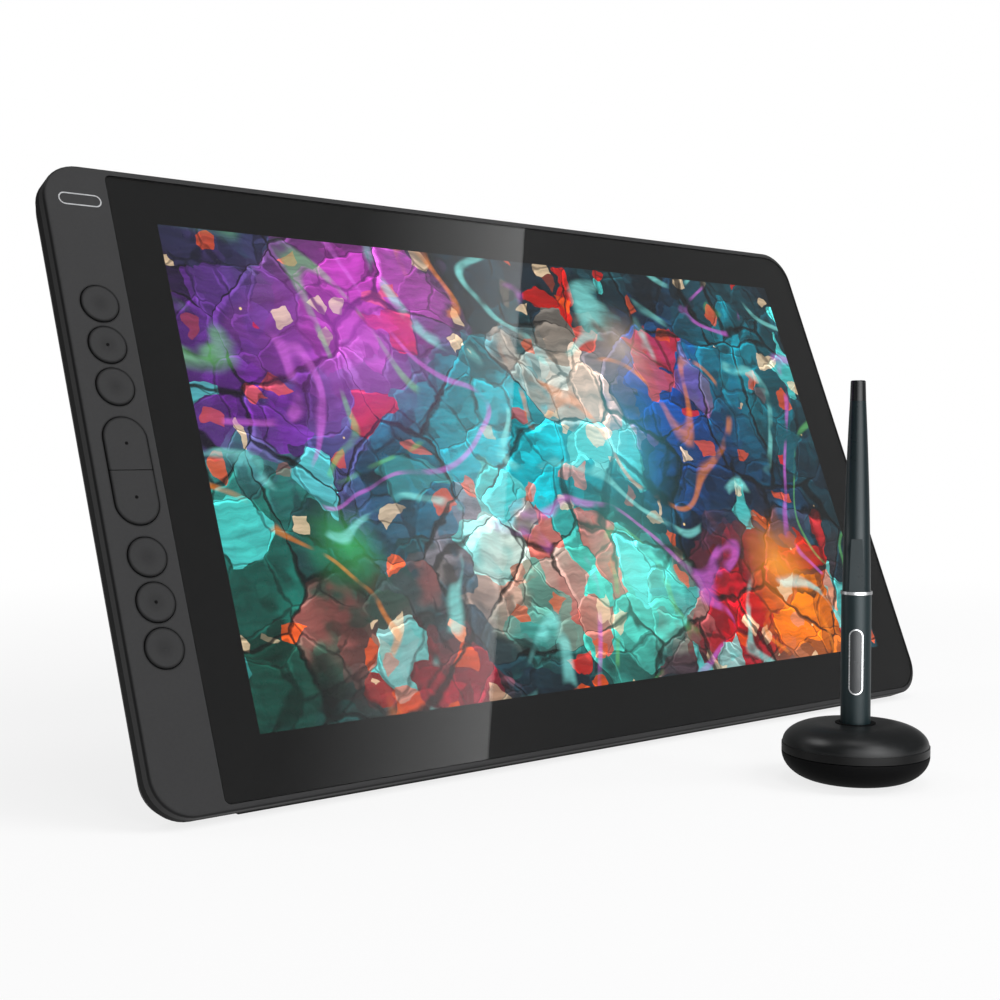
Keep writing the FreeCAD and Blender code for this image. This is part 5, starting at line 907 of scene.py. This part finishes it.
socket = {
    "depth": -0.0097, "tongueHalf": 0.00042,
    "rises": (0.092, 0.120), "mouthHalf": 0.0034,
    "contacts": 1700.0, "gap": 0.45,            # contacts to the metre, and the share of each that is bare
    "tongue": (0.012, 0.012, 0.013), "gilt": (0.75, 0.52, 0.2),
    "shell": ((0.5, 0.5, 0.5), (0.62, 0.62, 0.62)), "tintScale": 700.0,
    "roughness": (0.25, 0.4), "metallic": (1.0, 0.1),
}


def socketMaterial():
    # Plated shell; the tongue in each mouth is black with a row of gilt contacts.
    material, tree, shader, place = startMaterial("plugSocket")
    spot = splitVector(tree, facePlane(tree, place))
    deep = within(tree, spot["Z"], socket["depth"], socket["tongueHalf"])
    beside = [within(tree, spot["Y"], rise, socket["mouthHalf"]) for rise in socket["rises"]]
    tongue = doMath(tree, "MULTIPLY", deep, doMath(tree, "MAXIMUM", *beside))
    count = doMath(tree, "FRACT", doMath(tree, "MULTIPLY", spot["Y"], socket["contacts"]))
    inner = mixColour(tree, doMath(tree, "GREATER_THAN", count, socket["gap"]), socket["tongue"], socket["gilt"])
    plated = cloudTint(tree, noise(tree, place, socket["tintScale"]), socket["shell"])
    feedAll(tree, shader, {
        "Base Color": mixColour(tree, tongue, plated, inner),
        "Roughness": mapRange(tree, tongue, 0.0, 1.0, *socket["roughness"]),
        "Metallic": mapRange(tree, tongue, 0.0, 1.0, *socket["metallic"]),
    })
    return material


dress(boardMaterial("mainBoard", (0.008, 0.07, 0.035), (0.03, 0.15, 0.07)), "main_board", "key_board", "pen_board")
dress(boardMaterial("sensingBoard", (0.01, 0.03, 0.05), (0.03, 0.07, 0.1)), "digitizer_board")
dress(plastic("chipCases", (0.012, 0.012, 0.013), 0.45, depth=0.8, scale=7000.0), "main_board_chips")
dress(plastic("connectorPlastic", (0.6, 0.55, 0.42), 0.45), "ribbon_connectors")
dress(ribbonMaterial(), "key_ribbon", "display_ribbon", "digitizer_ribbon")
dress(lampStripMaterial(), "led_bar")
dress(socketMaterial(), "usb_sockets")
dress(metal("trayMetal", (0.72, 0.73, 0.74), 0.32), "backlight_tray")
dress(metal("chassisMetal", (0.55, 0.56, 0.57), 0.36), "chassis_plate")
dress(plastic("milkyFilm", (0.8, 0.8, 0.8), 0.3, depth=0.2, bump=0.05), "optical_films")
dress(plastic("lightGuide", (0.78, 0.82, 0.84), 0.1, depth=0.6, scale=1400.0, bump=0.1, coat=0.4), "light_guide")
print("insides dressed")


penTone = {
    # The grip and barrel have a dark body colour whose teal tint is a painted reflection of the screen's glow.
    "grip": (0.004, 0.015, 0.018),
    "barrel": (0.003, 0.012, 0.015),
    "cap": (0.004, 0.005, 0.006),
    "rocker": (0.016, 0.019, 0.022),
    "nib": (0.03, 0.03, 0.03),
    "trim": (0.50, 0.51, 0.52),
    "grain": 6000.0,
}

dress(plastic("softGrip", penTone["grip"], 0.35, depth=0.7, scale=penTone["grain"], specular=0.27, bump=0.15,
              marks=0.12), "pen_grip_barrel")
dress(plastic("penLacquer", penTone["barrel"], 0.29, depth=0.3, scale=penTone["grain"], specular=0.27, bump=0.08,
              marks=0.1), "pen_rear_barrel")
dress(plastic("penCapGloss", penTone["cap"], 0.18, depth=0.2, scale=penTone["grain"], specular=0.32, bump=0.05,
              marks=0.08), "pen_tail_cap")
dress(plastic("rockerPlastic", penTone["rocker"], 0.36, depth=0.4, scale=penTone["grain"], marks=0.1), "pen_rocker")
dress(plastic("nibPlastic", penTone["nib"], 0.4, depth=0.4), "pen_nib", "pen_plunger", "spare_nibs", "nib_rack")
dress(metal("silverTrim", penTone["trim"], 0.26, depth=0.15, bump=0.05), "pen_ring", "pen_rocker_trim")
dress(metal("copperWire", (0.68, 0.32, 0.14), 0.35, depth=0.8, bump=0.5), "pen_coil")
dress(plastic("ferrite", (0.03, 0.03, 0.032), 0.6, depth=1.0), "pen_ferrite")
print("pen dressed")


standTone = {
    "upper": (0.0085, 0.0092, 0.0096),
    # the band's near black is painted shade
    "band": (0.0010, 0.0011, 0.0012), "bandTop": 0.0135, "bandFade": 0.0001,
    "lower": (0.0022, 0.0022, 0.0024),
}


def standMaterial():
    # Satin black dome over an upright band that painted shade makes darker.
    material, tree, shader, place, tint = mouldedSkin(
        "standSatin", standTone["upper"], 0.32, depth=0.3, scale=5000.0, spread=0.05, marks=0.06, specular=0.2,
        bump=0.08)
    top, fade = standTone["bandTop"], standTone["bandFade"]
    # Painted shade on the band below the dome.
    band = mapRange(tree, splitVector(tree, place)["Z"], top + fade, top - fade)
    wire(tree, mixColour(tree, band, tint, standTone["band"]), shader.inputs["Base Color"])
    return material


dress(standMaterial(), "stand_upper_shell")
dress(plastic("standMatt", standTone["lower"], 0.6, depth=0.8, scale=4200.0, specular=0.06, bump=0.3),
      "stand_lower_shell", "stand_pen_liner")
print("stand dressed")


studio = {
    "ambient": 0.35,
    "ceiling": 0.12, "horizon": 0.6, "skyHeights": (0.02, 0.2),
    "floor": (0.93, 0.93, 0.935, 1), "floorSize": 9.0,
    "floorReach": (0.25, 0.9), "floorGlow": (0.8, 1.0),
    # name, place, looks at, size, power, seen in gloss
    "lamps": [
        ("mainLamp", (0.75, -1.0, 1.15), (0.0, -0.02, 0.1), 0.8, 13.0, False),
        ("keyLamp", (-0.35, -1.3, 0.75), (0.0, -0.02, 0.1), 0.5, 4.0, True),
        ("rimLamp", (-0.55, 0.6, 0.95), (0.03, -0.1, 0.0), 0.3, 1.2, True),
        ("topLamp", (0.1, -0.15, 1.4), (0.03, -0.05, 0.0), 0.5, 3.0, True),
    ],
}


def rayKinds(tree):
    # One for what the camera looks at, and one for what is seen in gloss or through glass.
    path = addNode(tree, "ShaderNodeLightPath").outputs
    return path["Is Camera Ray"], doMath(tree, "MAXIMUM", path["Is Glossy Ray"], path["Is Transmission Ray"])


def buildWorld():
    # White where the camera looks; what shines back is white only at the horizon, as under a studio's ceiling.
    world = bpy.data.worlds.new("studioWorld")
    bpy.context.scene.world = world
    tree = emptyTree(world)
    output = addNode(tree, "ShaderNodeOutputWorld")
    upward = splitVector(tree, addNode(tree, "ShaderNodeTexCoord").outputs["Generated"])["Z"]
    sky = mapRange(tree, upward, *studio["skyHeights"], studio["horizon"], studio["ceiling"], smooth=True)
    straight, shone = rayKinds(tree)
    strength = blend(tree, straight, blend(tree, shone, studio["ambient"], sky), 1.0)
    background = feedAll(tree, addNode(tree, "ShaderNodeBackground"), {"Color": (1, 1, 1, 1), "Strength": strength})
    wire(tree, background.outputs[0], output.inputs["Surface"])


def buildFloor():
    # A matt floor that glows a little where it is looked at, fully so away from the object, and keeps its shadow.
    material = bpy.data.materials.new("paleFloor")
    tree = emptyTree(material)
    output = addNode(tree, "ShaderNodeOutputMaterial")
    matt = feedAll(tree, addNode(tree, "ShaderNodeBsdfDiffuse"), {"Color": studio["floor"]})
    straight, shone = rayKinds(tree)
    glow = mapRange(tree, straight, 0.0, 1.0, studio["horizon"], 1.0)
    light = feedAll(tree, addNode(tree, "ShaderNodeEmission"), {"Strength": glow})
    away = vectorMath(tree, "LENGTH", addNode(tree, "ShaderNodeTexCoord").outputs["Object"])
    share = mapRange(tree, away, *studio["floorReach"], *studio["floorGlow"], smooth=True)
    lit = doMath(tree, "MULTIPLY", doMath(tree, "MAXIMUM", straight, shone), share)
    mix = addNode(tree, "ShaderNodeMixShader")
    for source, target in zip((lit, matt.outputs[0], light.outputs[0]), mix.inputs):
        wire(tree, source, target)
    wire(tree, mix.outputs[0], output.inputs["Surface"])
    half = studio["floorSize"] / 2
    mesh = bpy.data.meshes.new("studioFloor")
    mesh.from_pydata([(-half, -half, 0), (half, -half, 0), (half, half, 0), (-half, half, 0)], [], [(0, 1, 2, 3)])
    mesh.materials.append(material)
    addObject("studioFloor", mesh)


def aim(item, place, target):
    # A lamp at its place, turned so that it shines along the line to its target.
    away = Vector(place) - Vector(target)
    item.matrix_world = Matrix.Translation(place) @ away.to_track_quat("Z", "Y").to_matrix().to_4x4()


def buildLamps():
    # Square lamps, of which the brightest isn't seen in gloss.
    for name, place, target, size, power, glossy in studio["lamps"]:
        lamp = bpy.data.lights.new(name, "AREA")
        lamp.shape = "SQUARE"
        lamp.size = size
        lamp.energy = power
        item = addObject(name, lamp)
        item.visible_glossy = glossy
        item.visible_transmission = glossy
        aim(item, place, target)


camera = {
    "place": (-0.41187, -0.43039, 0.12169),
    "forward": (0.6369, 0.7690, -0.0355),
    "lens": 52.93,
    "sensor": 36.0,
}


def buildCamera():
    # A camera at its place that looks forward with no roll.
    lens = bpy.data.cameras.new("photoCamera")
    lens.lens = camera["lens"]
    lens.sensor_width = camera["sensor"]
    lens.sensor_fit = "HORIZONTAL"
    lens.clip_start = 0.01
    item = addObject("photoCamera", lens)
    forward = Vector(camera["forward"]).normalized()
    right = forward.cross(Vector((0, 0, 1))).normalized()
    turn = Matrix((right, right.cross(forward), -forward)).transposed().to_4x4()
    item.matrix_world = Matrix.Translation(camera["place"]) @ turn
    bpy.context.scene.camera = item


def reflectionCard(name, grid, shares, levelOf, near, hides):
    # A sheet of light that shows only in what mirrors it from near by. The grid holds its rows of points, and
    # shares what its map holds across it, from which levelOf works out the brightness. It hides what lies behind
    # it, or else its light is added to that.
    rows, columns = grid.shape[:2]
    row, column = np.meshgrid(np.arange(rows - 1), np.arange(columns - 1), indexing="ij")
    here = (row * columns + column).ravel()
    faces = np.stack([here, here + 1, here + 1 + columns, here + columns], axis=-1)
    mesh = bpy.data.meshes.new(name)
    mesh.from_pydata(grid.reshape(-1, 3).tolist(), [], faces.tolist())
    across = np.tile(shares, rows)[faces.ravel()]
    layer = mesh.uv_layers.new(name="cardMap")
    layer.data.foreach_set("uv", np.column_stack([across, np.zeros_like(across)]).ravel())
    material = bpy.data.materials.new(name)
    tree = emptyTree(material)
    output = addNode(tree, "ShaderNodeOutputMaterial")
    share = splitVector(tree, addNode(tree, "ShaderNodeUVMap", uv_map="cardMap").outputs[0])["X"]
    length = addNode(tree, "ShaderNodeLightPath").outputs["Ray Length"]
    close = mapRange(tree, length, near, near * 1.15, 1.0, 0.0)
    light = addNode(tree, "ShaderNodeEmission")
    wire(tree, doMath(tree, "MULTIPLY", levelOf(tree, share), close), light.inputs["Strength"])
    both = addNode(tree, "ShaderNodeMixShader" if hides else "ShaderNodeAddShader")
    if hides:
        wire(tree, close, both.inputs[0])
    behind, before = both.inputs[-2:]
    wire(tree, addNode(tree, "ShaderNodeBsdfTransparent").outputs[0], behind)
    wire(tree, light.outputs[0], before)
    wire(tree, both.outputs[0], output.inputs["Surface"])
    mesh.materials.append(material)
    card = addObject(name, mesh)
    card.visible_camera = False
    card.visible_diffuse = False
    card.visible_shadow = False


# The slanted reflection on the glass: its edge runs between two spots on the glass, and the sheet stands where
# the sight lines through it are mirrored to. Shares run along the edge, shifts beside it.
sheen = {
    "edgeHigh": (0.0233, 0.2343), "edgeLow": (-0.0669, 0.0075),
    "shares": (-0.3, 1.3), "shifts": (-0.32, 0.28), "steps": 25,
    "reach": 0.05,
    "wide": 0.092, "fall": 1.5,
    "strength": 1.15, "fill": 0.22,
    "near": 0.12,
}


def buildSheen():
    # Spots on the glass along and beside the edge, each carried along the mirrored sight line by the reach.
    (lowX, lowY), (highX, highY) = sheen["edgeLow"], sheen["edgeHigh"]
    shifts = np.linspace(*sheen["shifts"], sheen["steps"])
    share, shift = np.meshgrid(np.array(sheen["shares"]), shifts, indexing="ij")
    flat = np.stack([lowX + (highX - lowX) * share - shift, lowY + (highY - lowY) * share, np.zeros_like(share)],
                    axis=-1)
    spots = faceArray(flat.reshape(-1, 3))
    sight = spots - np.array(camera["place"])
    sight /= np.linalg.norm(sight, axis=1)[:, None]
    normal = np.array(faceTurn @ Vector((0, 0, 1)))
    mirrored = sight - 2 * (sight @ normal)[:, None] * normal
    grid = (spots + mirrored * sheen["reach"]).reshape(flat.shape)

    def level(tree, across):
        # Brightest at the edge and falling to the fill beside it; only the fill on its other side.
        fade = doMath(tree, "POWER", mapRange(tree, across, 0.0, sheen["wide"], 1.0, 0.0), sheen["fall"])
        lit = doMath(tree, "MULTIPLY", fade, doMath(tree, "GREATER_THAN", across, 0.0))
        return doMath(tree, "MULTIPLY_ADD", lit, sheen["strength"], sheen["fill"])

    reflectionCard("sheenCard", grid, shifts, level, sheen["near"], True)


# A low curved screen in front of the pen and its stand, which puts the long soft stripe on them.
stripe = {
    "middle": (0.030, -0.101),
    "reach": 0.13,
    "from": 205, "to": 300, "steps": 25,
    "low": 0.0, "high": 0.17,
    "rise": (0.0, 0.45, 0.25, 1.0), "fall": (0.52, 1.0, 1.0, 0.0),
    "strength": 6.0,
    "near": 0.17,
}


def buildStripe():
    # An arc about the pen's axis, brightest halfway along.
    angle, height = np.meshgrid(np.radians(np.linspace(stripe["from"], stripe["to"], stripe["steps"])),
                                np.array([stripe["low"], stripe["high"]]))
    x, y = stripe["middle"]
    grid = np.stack([x + np.cos(angle) * stripe["reach"], y + np.sin(angle) * stripe["reach"], height], axis=-1)

    def level(tree, across):
        # A smooth rise times a smooth fall.
        rise, fall = [mapRange(tree, across, *stripe[part], smooth=True) for part in ("rise", "fall")]
        return doMath(tree, "MULTIPLY", doMath(tree, "MULTIPLY", rise, fall), stripe["strength"])

    reflectionCard("stripeCard", grid, np.linspace(0, 1, stripe["steps"]), level, stripe["near"], False)


# Two small soft discs above the stand, which put the pair of highlights on its shoulder.
domeDiscs = {
    "places": {"rightDisc": (0.0132, -0.1596), "leftDisc": (-0.016, -0.061)},
    "height": 0.085,
    "radius": 0.03, "hole": 0.02,               # the hole is a share of the radius
    "strength": 10.0,
    "near": 0.09,
}


def buildDiscs():
    # Level rounds of points about each disc's middle, brightest there.
    shares = np.linspace(domeDiscs["hole"], 1, 6)
    angle, share = np.meshgrid(np.radians(np.linspace(0, 360, 25)), shares, indexing="ij")
    reach = share * domeDiscs["radius"]

    def level(tree, across):
        # A smooth fall from the middle to the rim.
        return mapRange(tree, across, 0.0, 1.0, domeDiscs["strength"], 0.0, smooth=True)

    for name, (x, y) in domeDiscs["places"].items():
        grid = np.stack([x + np.cos(angle) * reach, y + np.sin(angle) * reach,
                         np.full_like(reach, domeDiscs["height"])], axis=-1)
        reflectionCard(name, grid, shares, level, domeDiscs["near"], False)


buildWorld()
buildFloor()
buildLamps()
buildCamera()
buildSheen()
buildStripe()
buildDiscs()
bpy.context.scene.view_settings.view_transform = "Standard"
print("studio set")
